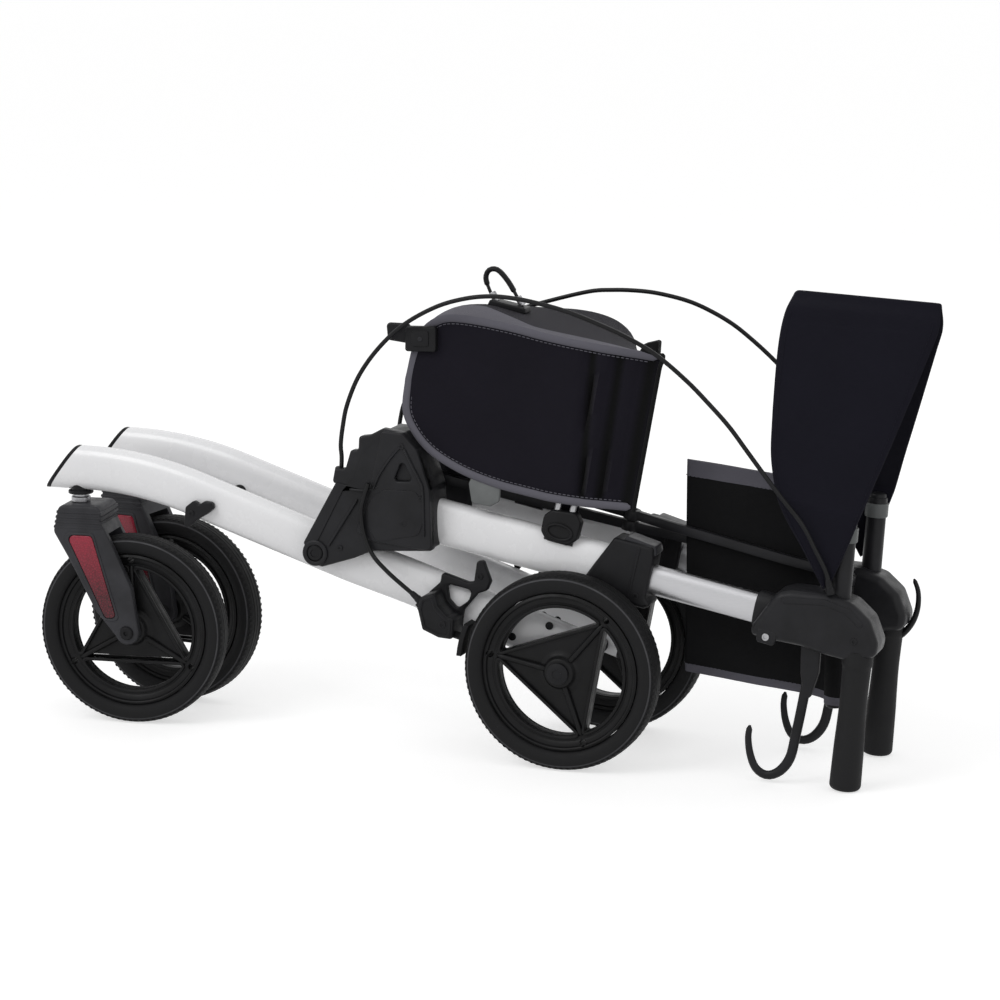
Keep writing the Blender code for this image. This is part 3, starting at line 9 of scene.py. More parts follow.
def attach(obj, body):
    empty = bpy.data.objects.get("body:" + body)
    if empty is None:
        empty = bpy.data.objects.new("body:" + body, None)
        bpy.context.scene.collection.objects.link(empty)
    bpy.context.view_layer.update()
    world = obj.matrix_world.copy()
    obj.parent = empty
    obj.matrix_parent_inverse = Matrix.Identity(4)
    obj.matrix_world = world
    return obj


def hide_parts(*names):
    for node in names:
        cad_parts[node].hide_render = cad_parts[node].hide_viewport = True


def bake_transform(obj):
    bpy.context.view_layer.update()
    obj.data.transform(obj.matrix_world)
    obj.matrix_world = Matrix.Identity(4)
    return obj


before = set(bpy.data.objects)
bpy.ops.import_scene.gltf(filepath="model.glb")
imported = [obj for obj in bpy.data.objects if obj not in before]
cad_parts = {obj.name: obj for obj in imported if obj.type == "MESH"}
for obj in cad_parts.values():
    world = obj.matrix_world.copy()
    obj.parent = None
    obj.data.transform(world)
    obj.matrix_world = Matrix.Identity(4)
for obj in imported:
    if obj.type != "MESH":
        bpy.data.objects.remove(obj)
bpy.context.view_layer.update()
scene = bpy.context.scene
milli = 0.001  # sizes are in millimetres until a mesh is made
sides = {"left": -1, "right": 1}

layout = {
    "shift": 111.29,  # from the part's measured x to the frame's x
    "pivot": (-263, 201),  # hinge of the handle columns, measured x and z
    "lean": 11.2,  # degrees the folded columns fall towards the grips
    "slope": 18.4,  # degrees the base tubes fall towards the rear wheels
    "stem": (-536, 58),  # caster stem, measured x and distance from the middle
    "toe": 6.0,
    "trail": 56,
    "axle": 100,
    "rearWheel": 85,  # middle of a rear wheel, from the middle plane
}
pivotX, pivotZ = layout["pivot"]


def at(x, y, z):
    return Matrix.Translation(Vector((x, y, z)) * milli)


def turn(degrees, axis):
    return Matrix.Rotation(math.radians(degrees), 4, axis)


def facing(direction):
    return Vector(direction).to_track_quat("Z", "Y").to_matrix().to_4x4()


shiftTurn = at(layout["shift"], 0, 0)
columnTurn = shiftTurn @ at(pivotX, 0, pivotZ) @ turn(layout["lean"], "Y")
casterTurn = shiftTurn @ at(*layout["stem"], 0) @ turn(-layout["toe"], "Z")


def inColumn(u, y, n):
    # a point of the column's own frame, in the whole frame's millimetres
    return columnTurn @ (Vector((u, y, n)) * milli) / milli


# Camera

view = {"place": (1.11948, -3.20284, 0.909), "tilt": 79.0, "turn": 19.0, "lens": 122.4}
camera = bpy.data.objects.new("camera", bpy.data.cameras.new("camera"))
camera.location = view["place"]
camera.rotation_euler = (math.radians(view["tilt"]), 0, math.radians(view["turn"]))
camera.data.lens = view["lens"]
camera.data.sensor_width = 36
camera.data.clip_end = 100
scene.collection.objects.link(camera)
scene.camera = camera
scene.view_settings.view_transform = "Standard"


class Field:
    # a socket inside an expression: mask * 2 + 1 adds its Math nodes
    def __init__(self, finish, socket):
        self.finish, self.socket = finish, socket

    def maths(self, operation, first, second=0.0):
        return self.finish.add("ShaderNodeMath", {"operation": operation}, {0: first, 1: second})

    def __add__(self, other):
        return self.maths("ADD", self, other)

    def __sub__(self, other):
        return self.maths("SUBTRACT", self, other)

    def __rsub__(self, other):
        return self.maths("SUBTRACT", other, self)

    def __mul__(self, other):
        return self.maths("MULTIPLY", self, other)

    def sine(self):
        return self.maths("SINE", self)

    def size(self):
        return self.maths("ABSOLUTE", self)


class Finish:
    # one material, or the world, and its nodes
    def __init__(self, name, owner=None):
        self.owner = owner or bpy.data.materials.new(name)
        self.owner.use_nodes = True
        self.tree = self.owner.node_tree

    def add(self, kind, settings=None, inputs=None, output=0):
        node = self.tree.nodes.new(kind)
        for key, value in (settings or {}).items():
            setattr(node, key, value)
        for key, value in (inputs or {}).items():
            self.feed(node.inputs[key], value)
        return Field(self, node.outputs[output])

    def feed(self, socket, value):
        if isinstance(value, Field):
            self.tree.links.new(value.socket, socket)
        elif socket.type == "RGBA" and len(value) == 3:
            socket.default_value = (*value, 1)
        else:
            socket.default_value = value

    def give(self, inputs):
        for key, value in inputs.items():
            self.feed(self.tree.nodes["Principled BSDF"].inputs[key], value)
        return self.owner

    def place(self, tilt=(0, 0, 0), scale=(1, 1, 1), source="Object"):
        spot = self.add("ShaderNodeTexCoord", output=source)
        return self.add("ShaderNodeMapping", None, {"Vector": spot, "Rotation": tilt, "Scale": scale})

    def cloud(self, where, scale, detail=3.0, rough=0.55):
        return self.add("ShaderNodeTexNoise", None,
                        {"Vector": where, "Scale": scale, "Detail": detail, "Roughness": rough})

    def blendColour(self, amount, dark, light):
        return self.add("ShaderNodeMix", {"data_type": "RGBA"}, {0: amount, 6: dark, 7: light}, 2)

    def spread(self, value, low, high, toLow=0.0, toHigh=1.0):
        return self.add("ShaderNodeMapRange", None, {0: value, 1: low, 2: high, 3: toLow, 4: toHigh})

    def bump(self, height, strength, distance, normal=None):
        inputs = {"Height": height, "Strength": strength, "Distance": distance}
        if normal:
            inputs["Normal"] = normal
        return self.add("ShaderNodeBump", None, inputs)


def linear(colour):
    return tuple(c / 12.92 if c <= 0.04045 else ((c + 0.055) / 1.055) ** 2.4 for c in colour)


# Finishes

families = {  # mottle and wear: scale, detail, roughness, low, high; grain: the first three, strength, depth
    "paint": {"mottle": (9, 2, 0.55, 0.35, 0.7), "wear": (60, 5, 0.55, 0.45, 0.75),
              "grain": (420, 2, 0.55, 0.05, 0.0004), "plain": {"Coat Weight": 0.35, "Coat Roughness": 0.12}},
    "plastic": {"mottle": (24, 4, 0.55, 0.35, 0.7), "wear": (90, 5, 0.55, 0.4, 0.75),
                "grain": (1500, 3, 0.7, 0.35, 0.0003), "plain": {"Specular IOR Level": 0.16}},
    "rubber": {"mottle": (45, 6, 0.65, 0.42, 0.8), "grain": (900, 3, 0.55, 0.3, 0.0005),
               "plain": {"Specular IOR Level": 0.2}},
    "sheath": {"mottle": (70, 4, 0.55, 0.4, 0.75), "grain": (800, 2, 0.55, 0.2, 0.0002),
               "plain": {"Specular IOR Level": 0.2}},
}
plainLook = {  # family, darker and lighter colour, lowest and highest roughness
    "whitePaint": ("paint", (0.94, 0.94, 0.947), (0.955, 0.955, 0.96), 0.24, 0.36),
    "blackPlastic": ("plastic", (0.075, 0.075, 0.08), (0.11, 0.11, 0.12), 0.38, 0.56),
    "greyPlastic": ("plastic", (0.115, 0.115, 0.122), (0.155, 0.155, 0.166), 0.34, 0.52),
    "rimPlastic": ("plastic", (0.05, 0.05, 0.053), (0.085, 0.085, 0.09), 0.34, 0.52),
    "forkPlastic": ("plastic", (0.19, 0.19, 0.2), (0.25, 0.25, 0.265), 0.36, 0.54),
    "palePlastic": ("plastic", (0.38, 0.39, 0.39), (0.46, 0.47, 0.47), 0.36, 0.54),
    "clipPlastic": ("plastic", (0.15, 0.15, 0.16), (0.21, 0.21, 0.225), 0.32, 0.5),
    "tyreRubber": ("rubber", (0.065, 0.065, 0.07), (0.12, 0.12, 0.125), 0.62, 0.85),
    # a lighter copy of the tyre rubber: a painted highlight line round each tyre's shoulder
    "tyreEdge": ("rubber", (0.24, 0.24, 0.25), (0.33, 0.33, 0.34), 0.62, 0.85),
    "gripRubber": ("rubber", (0.10, 0.10, 0.105), (0.145, 0.145, 0.15), 0.62, 0.85),
    "cableSheath": ("sheath", (0.05, 0.05, 0.055), (0.09, 0.09, 0.1), 0.34, 0.5),
}
clothLook = {
    # bagCloth's deep colour is painted shade laid along its creases; each crease gives the place, slope and
    # width of that painted shade
    "bagCloth": {"colour": (0.062, 0.056, 0.085), "light": (0.1, 0.09, 0.13), "thread": 0.8, "sheen": 0.05,
                 "deep": (0.012, 0.012, 0.016),
                 "creases": [(0.2407, 0.116, 0.006), (0.268, 0.047, 0.007), (0.299, 0.02, 0.009)]},
    "seatCloth": {"colour": (0.05, 0.05, 0.054), "light": (0.085, 0.085, 0.092), "thread": 1.0, "sheen": 0.04},
    "strapCloth": {"colour": (0.045, 0.042, 0.08), "light": (0.08, 0.076, 0.12), "thread": 0.7, "sheen": 0.05},
    "liningCloth": {"colour": (0.05, 0.05, 0.055), "light": (0.08, 0.08, 0.088), "thread": 1.0, "sheen": 0.03},
    "pipingCloth": {"colour": (0.345, 0.34, 0.37), "light": (0.43, 0.425, 0.46), "thread": 0.6, "sheen": 0.06},
}
metalLook = {
    "satinAluminium": {"colour": (0.75, 0.75, 0.76), "rough": 0.34, "lean": -layout["lean"],
                       "stretch": (1.5, 60, 60)},
    "zincSteel": {"colour": (0.66, 0.66, 0.67), "rough": 0.32, "lean": 0, "stretch": (6, 30, 6)},
}


def plainFinish(name):
    kind, dark, light, smooth, rough = plainLook[name]
    family = families[kind]
    finish = Finish(name)
    spot = finish.place()
    tone = finish.spread(finish.cloud(spot, *family["mottle"][:3]), *family["mottle"][3:])
    wear = (tone, 0, 1)
    if "wear" in family:
        wear = (finish.cloud(spot, *family["wear"][:3]), *family["wear"][3:])
    grain = finish.cloud(spot, *family["grain"][:3])
    return finish.give({
        "Base Color": finish.blendColour(tone, linear(dark), linear(light)),
        "Roughness": finish.spread(*wear, smooth, rough), **family["plain"],
        "Normal": finish.bump(grain, *family["grain"][3:]),
    })


def wovenCloth(name):
    look = clothLook[name]
    finish = Finish(name)
    spot = finish.place(source="UV")
    count = 2 * math.pi / (look["thread"] * milli)
    u, v = (finish.add("ShaderNodeSeparateXYZ", None, {"Vector": spot}, axis) for axis in ("X", "Y"))
    weave = (u * count).sine() * (v * count).sine() * 0.5 + 0.5
    slub = finish.cloud(finish.place(scale=(3, 60, 1), source="UV"), 40)
    broad = finish.cloud(finish.place(source="UV"), 14)
    tone = finish.spread(weave * 0.45 + slub * 0.35 + broad * 0.5, 0.35, 0.95)
    colour = finish.blendColour(tone, linear(look["colour"]), linear(look["light"]))
    # painted shade: along each crease line the cloth colour is darkened towards the deep colour
    for start, slope, width in look.get("creases", []):
        away = (u - start - (0.269 - v) * slope).size()
        colour = finish.blendColour(finish.spread(away, width * 0.2, width), linear(look["deep"]), colour)
    return finish.give({
        "Base Color": colour, "Roughness": finish.spread(slub, 0.3, 0.7, 0.72, 0.88),
        "Specular IOR Level": 0.12, "Sheen Weight": look["sheen"], "Sheen Roughness": 0.5,
        "Normal": finish.bump(broad, 0.12, 0.004, finish.bump(weave, 0.5, 0.0004)),
    })


def brushedMetal(name):
    look = metalLook[name]
    finish = Finish(name)
    lines = finish.cloud(finish.place((0, math.radians(look["lean"]), 0), look["stretch"]), 60, 4, 0.6)
    colour = linear(look["colour"])
    return finish.give({
        "Base Color": finish.blendColour(finish.spread(lines, 0.3, 0.7), [c * 0.86 for c in colour], colour),
        "Metallic": 1.0, "Normal": finish.bump(lines, 0.12, 0.0002),
        "Roughness": finish.spread(lines, 0.3, 0.7, look["rough"] - 0.05, look["rough"] + 0.1),
    })


def redLens(name):
    # reflex cells under a clear face, with a painted highlight that makes it brighter towards the upper end
    finish = Finish(name)
    spot = finish.place()
    cells = finish.add("ShaderNodeTexVoronoi", {"feature": "DISTANCE_TO_EDGE"}, {"Vector": spot, "Scale": 420})
    height = finish.add("ShaderNodeSeparateXYZ", None, {"Vector": spot}, "Z")
    # painted highlight: the height term lightens the lens colour towards its upper end
    glow = finish.spread(cells, 0.0, 0.2, 0.0, 0.3) + finish.spread(height, 0.135, 0.2, 0.0, 0.6)
    return finish.give({
        "Base Color": finish.blendColour(glow, linear((0.13, 0.012, 0.035)), linear((0.66, 0.16, 0.25))),
        "Roughness": 0.22, "Coat Weight": 0.25, "Coat Roughness": 0.05, "Specular IOR Level": 0.25,
        "Normal": finish.bump(cells, 0.25, 0.0004),
    })


makers = {plainFinish: plainLook, wovenCloth: clothLook, brushedMetal: metalLook, redLens: ["redLens"]}
finishes = {name: maker(name) for maker, names in makers.items() for name in names}
print("finishes", len(finishes))

# Points and outlines


def polar(radius, degrees):
    return radius * math.cos(math.radians(degrees)), radius * math.sin(math.radians(degrees))


def ring(radius, count=96, squash=1.0):
    return [(x, z * squash) for x, z in (polar(radius, 360 * k / count) for k in range(count))]


def ovalSection(height, width, count=48, power=2.6):
    return [(width / 2 * math.copysign(abs(c) ** (2 / power), c),
             height / 2 * math.copysign(abs(s) ** (2 / power), s)) for c, s in ring(1, count)]


def smoothLine(points, spacing):
    # an even line through the points
    ends = [Vector(p) for p in points]
    ends = [2 * ends[0] - ends[1]] + ends + [2 * ends[-1] - ends[-2]]
    dense = []
    for a, b, c, d in zip(ends, ends[1:], ends[2:], ends[3:]):
        for t in (k / 24 for k in range(24)):
            dense.append(0.5 * (2 * b + (c - a) * t + (2 * a - 5 * b + 4 * c - d) * t * t
                                + (3 * b - a - 3 * c + d) * t ** 3))
    dense.append(ends[-2])
    gone = [0.0]
    for a, b in zip(dense, dense[1:]):
        gone.append(gone[-1] + (b - a).length)
    count = max(2, round(gone[-1] / spacing))
    line, k = [], 0
    for i in range(count + 1):
        want = gone[-1] * i / count
        while k < len(dense) - 2 and gone[k + 1] < want:
            k += 1
        span = gone[k + 1] - gone[k]
        line.append(dense[k].lerp(dense[k + 1], (want - gone[k]) / span if span else 0))
    return line


def track(points, y, spacing=2.0):
    # an even line through (x, z) points at one distance from the middle
    return smoothLine([(x, y, z) for x, z in points], spacing)


def softOutline(points, radius, step=9.0):
    # a closed outline with its corners turned into arcs
    corners = [Vector(p) for p in points]
    outline = []
    for i, corner in enumerate(corners):
        before, after = corners[i - 1] - corner, corners[(i + 1) % len(corners)] - corner
        angle = before.angle(after)
        bend = math.pi - angle
        if bend < math.radians(4):
            outline.append(tuple(corner))
            continue
        reach = min(radius / math.tan(angle / 2), 0.46 * before.length, 0.46 * after.length)
        size = reach * math.tan(angle / 2)
        middle = (before.normalized() + after.normalized()).normalized()
        centre = corner + middle * (size / math.sin(angle / 2))
        arm = corner + before.normalized() * reach - centre
        sign = 1 if before.x * after.y - before.y * after.x < 0 else -1
        count = max(2, round(math.degrees(bend) / step))
        outline += [tuple(centre + Matrix.Rotation(sign * bend * k / count, 2) @ arm) for k in range(count + 1)]
    return outline


def wound(points, anticlockwise=True):
    area = sum(a[0] * b[1] - b[0] * a[1] for a, b in zip(points, points[1:] + points[:1]))
    return list(points) if (area > 0) == anticlockwise else list(points)[::-1]


def inset(points, distance):
    corners = [Vector(p) for p in wound(points)]
    result = []
    for i, corner in enumerate(corners):
        a = (corner - corners[i - 1]).normalized()
        b = (corners[(i + 1) % len(corners)] - corner).normalized()
        first, second = Vector((-a.y, a.x)), Vector((-b.y, b.x))
        middle = (first + second).normalized()
        result.append(tuple(corner + middle * (distance / max(0.5, middle.dot(first)))))
    return result


def bothWays(half, closed=False):
    # a profile and its mirror image past the middle plane
    return half + [(r, -y) for r, y in half[::-1]] + (half[:1] if closed else [])


# Meshes


def meshFrom(shape, turned=True):
    if turned:
        bmesh.ops.recalc_face_normals(shape, faces=shape.faces)
    mesh = bpy.data.meshes.new("made")
    shape.to_mesh(mesh)
    shape.free()
    return mesh


def meshOf(item):
    bpy.context.view_layer.update()
    mesh = bpy.data.meshes.new_from_object(item.evaluated_get(bpy.context.evaluated_depsgraph_get()))
    mesh.transform(item.matrix_world)
    bpy.data.objects.remove(item, do_unlink=True)
    return mesh


def scratch(data, matrix=None):
    item = bpy.data.objects.new("scratch", data)
    scene.collection.objects.link(item)
    item.matrix_world = matrix or Matrix.Identity(4)
    return item


def joined(meshes):
    shape = bmesh.new()
    for mesh in meshes:
        shape.from_mesh(mesh)
    return meshFrom(shape, False)


def weld(mesh, distance=0.00001):
    shape = bmesh.new()
    shape.from_mesh(mesh)
    bmesh.ops.remove_doubles(shape, verts=shape.verts, dist=distance)
    bmesh.ops.dissolve_degenerate(shape, edges=shape.edges, dist=distance)
    return meshFrom(shape)


def plate(outlines, low, high, bevel=1.0, rounds=3):
    # flat moulding in the XZ plane: the first outline is its edge, the rest are its holes
    curve = bpy.data.curves.new("plate", "CURVE")
    curve.dimensions, curve.fill_mode = "2D", "BOTH"
    for k, outline in enumerate(outlines):
        outline = wound(outline, k == 0)
        spline = curve.splines.new("POLY")
        spline.points.add(len(outline) - 1)
        for point, (x, z) in zip(spline.points, outline):
            point.co = (x * milli, z * milli, 0, 1)
        spline.use_cyclic_u = True
    curve.extrude = ((high - low) / 2 - bevel) * milli
    curve.bevel_depth, curve.offset, curve.bevel_resolution = bevel * milli, -bevel * milli, rounds - 1
    return weld(meshOf(scratch(curve, at(0, (low + high) / 2, 0) @ turn(90, "X"))))


def moulding(outline, corner, low, high, bevel=1.0, rounds=3):
    # a plate whose corners are rounded
    return plate([softOutline(outline, corner)], low, high, bevel, rounds)


def lathe(profile, steps=96, axis="Y", slots=None):
    # a profile of (radius, place along the axis), each stretch with its own material slot
    shape = bmesh.new()
    rings = []
    for radius, along in profile:
        circle = ring(radius, steps) if radius > 0.0001 else [(0, 0)]
        rings.append([shape.verts.new(Vector((x, along, z)) * milli) for x, z in circle])
    for number, (first, second) in enumerate(zip(rings, rings[1:])):
        for k in range(steps):
            corners = []
            for circle, place in ((first, k), (first, k + 1), (second, k + 1), (second, k)):
                corner = circle[place % len(circle)]
                if corner not in corners:
                    corners.append(corner)
            if len(corners) > 2:
                shape.faces.new(corners).material_index = slots[number] if slots else 0
    mesh = meshFrom(shape)
    if axis == "Z":
        mesh.transform(turn(90, "X"))
    return mesh


def pin(radius, low, high, steps=24, axis="Z"):
    return lathe([(0, low), (radius, low), (radius, high), (0, high)], steps, axis)


def sweep(path, section, closed=False, side=None, sizes=None):
    # a section of (sideways, up) points carried along a path; side fixes the sideways direction
    line = [Vector(p) for p in path]
    shape = bmesh.new()
    rings, across = [], None
    for i, spot in enumerate(line):
        if closed:
            ahead = (line[(i + 1) % len(line)] - line[i - 1]).normalized()
        else:
            ahead = (line[min(i + 1, len(line) - 1)] - line[max(i - 1, 0)]).normalized()
        if side is not None:
            across = Vector(side)
        elif across is None:
            across = ahead.orthogonal()
        across = (across - ahead * across.dot(ahead)).normalized()
        up = ahead.cross(across)
        size = sizes[i] if sizes else 1
        rings.append([shape.verts.new((spot + across * (x * size) + up * (z * size)) * milli)
                      for x, z in section])
    for first, second in zip(rings, rings[1:] + (rings[:1] if closed else [])):
        for k in range(len(section)):
            n = (k + 1) % len(section)
            shape.faces.new((first[k], first[n], second[n], second[k]))
    if not closed:
        shape.faces.new(rings[0][::-1])
        shape.faces.new(rings[-1])
    return meshFrom(shape)


def roundBar(line, radius, count=14, squash=1.0, taper=None, side=None):
    # a bar with rounded ends
    sizes = []
    for i, spot in enumerate(line):
        reach = min((spot - line[0]).length, (line[-1] - spot).length) / radius
        dome = math.sqrt(max(0.0, 1 - (1 - min(1.0, reach + 0.08)) ** 2))
        sizes.append(dome * (taper(i / (len(line) - 1)) if taper else 1))
    return sweep(line, ring(radius, count, squash), side=side, sizes=sizes)


def painted(mesh, slot):
    for face in mesh.polygons:
        face.material_index = slot
    return mesh


def moved(mesh, matrix):
    copy = mesh.copy()
    copy.transform(matrix)
    return copy


def trimmed(mesh, point, normal):
    shape = bmesh.new()
    shape.from_mesh(mesh)
    cutLine = bmesh.ops.bisect_plane(shape, geom=shape.verts[:] + shape.edges[:] + shape.faces[:],
                                     plane_co=point * milli, plane_no=normal, clear_outer=True)
    edges = [e for e in cutLine["geom_cut"] if isinstance(e, bmesh.types.BMEdge)]
    bmesh.ops.contextual_create(shape, geom=edges)
    return meshFrom(shape)


def changed(mesh, kind, **settings):
    # the mesh after one modifier
    item = scratch(mesh)
    modifier = item.modifiers.new("change", kind)
    for key, value in settings.items():
        setattr(modifier, key, value)
    return meshOf(item)


def cut(mesh, *tools):
    for tool in tools:
        helper = scratch(tool)
        mesh = changed(mesh, "BOOLEAN", operation="DIFFERENCE", object=helper)
        bpy.data.objects.remove(helper, do_unlink=True)
    return mesh


def softened(mesh, width, rounds=2, angle=32):
    # edges of a moulding rounded over
    return changed(mesh, "BEVEL", width=width * milli, segments=rounds, limit_method="ANGLE",
                   angle_limit=math.radians(angle), use_clamp_overlap=True, harden_normals=False)


def nodeCopy(name):
    return weld(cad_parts[name].data.copy(), 0.00002)


def nodeFor(name):
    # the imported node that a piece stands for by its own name, if there is one
    node = "".join("_" + letter.lower() if letter.isupper() else letter for letter in name)
    return [node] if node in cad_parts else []


def addPiece(name, mesh, looks, body, replaced=None, sharp=38):
    item = bpy.data.objects.new(name, mesh)
    mesh.name = name
    scene.collection.objects.link(item)
    slots = [face.material_index for face in mesh.polygons]
    mesh.materials.clear()
    for look in [looks] if isinstance(looks, str) else looks:
        mesh.materials.append(finishes[look])
    mesh.polygons.foreach_set("material_index", slots)
    mesh.shade_smooth()
    mesh.set_sharp_from_angle(angle=math.radians(sharp))
    replaced = nodeFor(name) if replaced is None else replaced
    if replaced:
        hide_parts(*replaced)
    if isinstance(body, str):
        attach(item, body)
    else:
        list(body)
        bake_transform(item)
    return item


def forSide(mesh, matrix, side):
    copy = moved(mesh, matrix)
    if side == "left":
        copy.transform(Matrix.Scale(-1, 4, (0, 1, 0)))
        copy.flip_normals()
    return copy


def addPair(name, mesh, matrix, looks, body, replaced=None, sharp=38):
    for side in sides:
        addPiece(side + name, forSide(mesh, matrix, side), looks, side + "_" + body,
                 replaced and [side + "_" + replaced], sharp)


# Geometry Nodes for what repeats


class Grower:
    # a tree with named sizes, closed by Realize Instances and Set Material
    def __init__(self, name, sizes):
        self.tree = bpy.data.node_groups.new(name, "GeometryNodeTree")
        for way in ("INPUT", "OUTPUT"):
            self.tree.interface.new_socket("Geometry", in_out=way, socket_type="NodeSocketGeometry")
        for label, value in sizes.items():
            size = self.tree.interface.new_socket(label, in_out="INPUT", socket_type="NodeSocketFloat")
            size.default_value = value * milli
        self.tree.interface.new_socket("Material", in_out="INPUT", socket_type="NodeSocketMaterial")
        self.given = self.tree.nodes.new("NodeGroupInput").outputs

    def add(self, kind, inputs=None, **settings):
        node = self.tree.nodes.new(kind)
        for key, value in settings.items():
            setattr(node, key, value)
        for key, value in (inputs or {}).items():
            if isinstance(value, bpy.types.NodeSocket):
                self.tree.links.new(value, node.inputs[key])
            else:
                node.inputs[key].default_value = value
        return node.outputs

    def aligned(self, direction):
        return self.add("FunctionNodeAlignRotationToVector", {"Vector": direction}, axis="Z")[0]

    def onPoints(self, points, shape, rotation):
        rows = self.add("GeometryNodeInstanceOnPoints",
                        {"Points": points, "Instance": shape, "Rotation": rotation})
        real = self.add("GeometryNodeRealizeInstances", {"Geometry": rows[0]})
        made = self.add("GeometryNodeSetMaterial", {"Geometry": real[0], "Material": self.given["Material"]})
        self.tree.links.new(made[0], self.tree.nodes.new("NodeGroupOutput").inputs[0])
        return self.tree


def stitchTree():
    # one thread bump at every step along each edge line
    grower = Grower("stitchRow", {"Spacing": 4, "Length": 2.6, "Thread": 0.5})
    given = grower.given
    curve = grower.add("GeometryNodeMeshToCurve", {"Mesh": given[0]})
    steps = grower.add("GeometryNodeResampleCurve", {"Curve": curve[0], "Length": given["Spacing"]},
                       mode="LENGTH")
    thread = grower.add("GeometryNodeMeshCylinder",
                        {"Vertices": 6, "Radius": given["Thread"], "Depth": given["Length"]})
    tangent = grower.add("GeometryNodeInputTangent")
    return grower.onPoints(steps[0], thread[0], grower.aligned(tangent[0]))


def treadTree():
    # low ribs across a tyre, at every point of a ring, facing the way its point remembers
    grower = Grower("treadRibs", {"Width": 2.4, "Height": 0.8, "Length": 8.5})
    given = grower.given
    size = grower.add("ShaderNodeCombineXYZ", {0: given["Width"], 1: given["Length"], 2: given["Height"]})
    rib = grower.add("GeometryNodeMeshCube", {"Size": size[0]})
    arrow = grower.add("GeometryNodeInputNamedAttribute", {"Name": "facing"}, data_type="FLOAT_VECTOR")
    flat = grower.add("FunctionNodeAlignRotationToVector",
                      {"Rotation": grower.aligned(arrow[0]), "Vector": (0, 1, 0)}, axis="Y", pivot_axis="Z")
    return grower.onPoints(given[0], rib[0], flat[0])


trees = {"stitch": stitchTree(), "tread": treadTree()}


def grown(mesh, treeName, look, **sizes):
    # the plain mesh that a tree makes on this one
    item = scratch(mesh)
    modifier = item.modifiers.new(treeName, "NODES")
    modifier.node_group = trees[treeName]
    values = {"Material": finishes[look], **{label: size * milli for label, size in sizes.items()}}
    for socket in trees[treeName].interface.items_tree:
        if socket.in_out == "INPUT" and socket.name in values:
            modifier[socket.identifier] = values[socket.name]
    return meshOf(item)


def stitched(points, look, spacing, length, thread, slot):
    # a row of stitches along a line
    mesh = bpy.data.meshes.new("row")
    mesh.from_pydata([tuple(p * milli) for p in points], [(k, k + 1) for k in range(len(points) - 1)], [])
    return painted(weld(grown(mesh, "stitch", look, Spacing=spacing, Length=length, Thread=thread), 1e-7), slot)


def screwHead(place, normal, radius=3.5, height=1.2):
    profile = [(0, height * 0.2), (radius * 0.5, height * 0.2), (radius * 0.5, height), (radius * 0.85, height),
               (radius, height * 0.6), (radius, -height), (0, -height)]
    return moved(lathe(profile, 28, "Z"), at(*place) @ facing(normal))


def screws(places, side=1):
    # heads that face away from the middle, or towards it: x, y, z and radius of each
    return [screwHead((x, y, z), (0, side, 0), radius) for x, y, z, radius in places]


def box(left, low, right, high):
    return [(left, low), (right, low), (right, high), (left, high)]


def span(sign, near, far):
    return sorted((sign * near, sign * far))


def ray(degrees):
    x, z = polar(1, degrees)
    return Vector((x, 0, z))


# Wheels

wheelLook = {
    "window": 65, "chord": 36, "corner": 7, "frontWindow": 30, "rearWindow": -10.5, "holeRing": 74, "hole": 3.6,
    "spoke": 4.2, "ribs": 96, "ribRing": 98.5, "ribRow": 10.2, "ribLean": 0.28,
    "rib": {"Width": 2.6, "Height": 0.7, "Length": 6.2},
}


def tyreMesh():
    # the slot 1 ring on each shoulder takes the lighter rubber, a painted highlight line
    half = [(80.3, -9.5, 0), (82.3, -12.6, 0), (85.5, -14.3, 0), (89, -15, 0), (93, -15, 0), (94.2, -14.6, 1),
            (95.6, -13.9, 0), (97.4, -12.5, 0), (98.7, -10.5, 0), (99.4, -8.2, 0), (99.6, -6.2, 0),
            (98.9, -5.7, 0), (98.9, -5.1, 0), (99.7, -4.6, 0), (99.8, -0.6, 0), (99.2, -0.3, 0)]
    slots = [slot for r, y, slot in half[:-1]]
    profile = bothWays([(r, y) for r, y, slot in half], True)
    tyre = weld(lathe(profile, 128, slots=slots + [0] + slots[::-1] + [0]))
    places, arrows = [], []
    for k in range(wheelLook["ribs"]):
        for row, offset in ((-1, 0.0), (1, 0.5)):
            normal = ray(360 * (k + offset) / wheelLook["ribs"])
            places.append((normal * wheelLook["ribRing"] + Vector((0, row * wheelLook["ribRow"], 0))) * milli)
            arrows.append((normal + Vector((0, row * wheelLook["ribLean"], 0))).normalized())
    ribs = bpy.data.meshes.new("ribs")
    ribs.from_pydata([tuple(p) for p in places], [], [])
    for spot, arrow in zip(ribs.attributes.new("facing", "FLOAT_VECTOR", "POINT").data, arrows):
        spot.vector = arrow
    return joined([tyre, painted(grown(ribs, "tread", "tyreRubber", **wheelLook["rib"]), 0)])


def windowOutline(middle, grow=0.0):
    reach = math.degrees(math.acos(wheelLook["chord"] / wheelLook["window"]))
    arc = [polar(wheelLook["window"], middle - reach + reach * k / 12) for k in range(25)]
    return inset(softOutline(arc, wheelLook["corner"], 12), -grow)


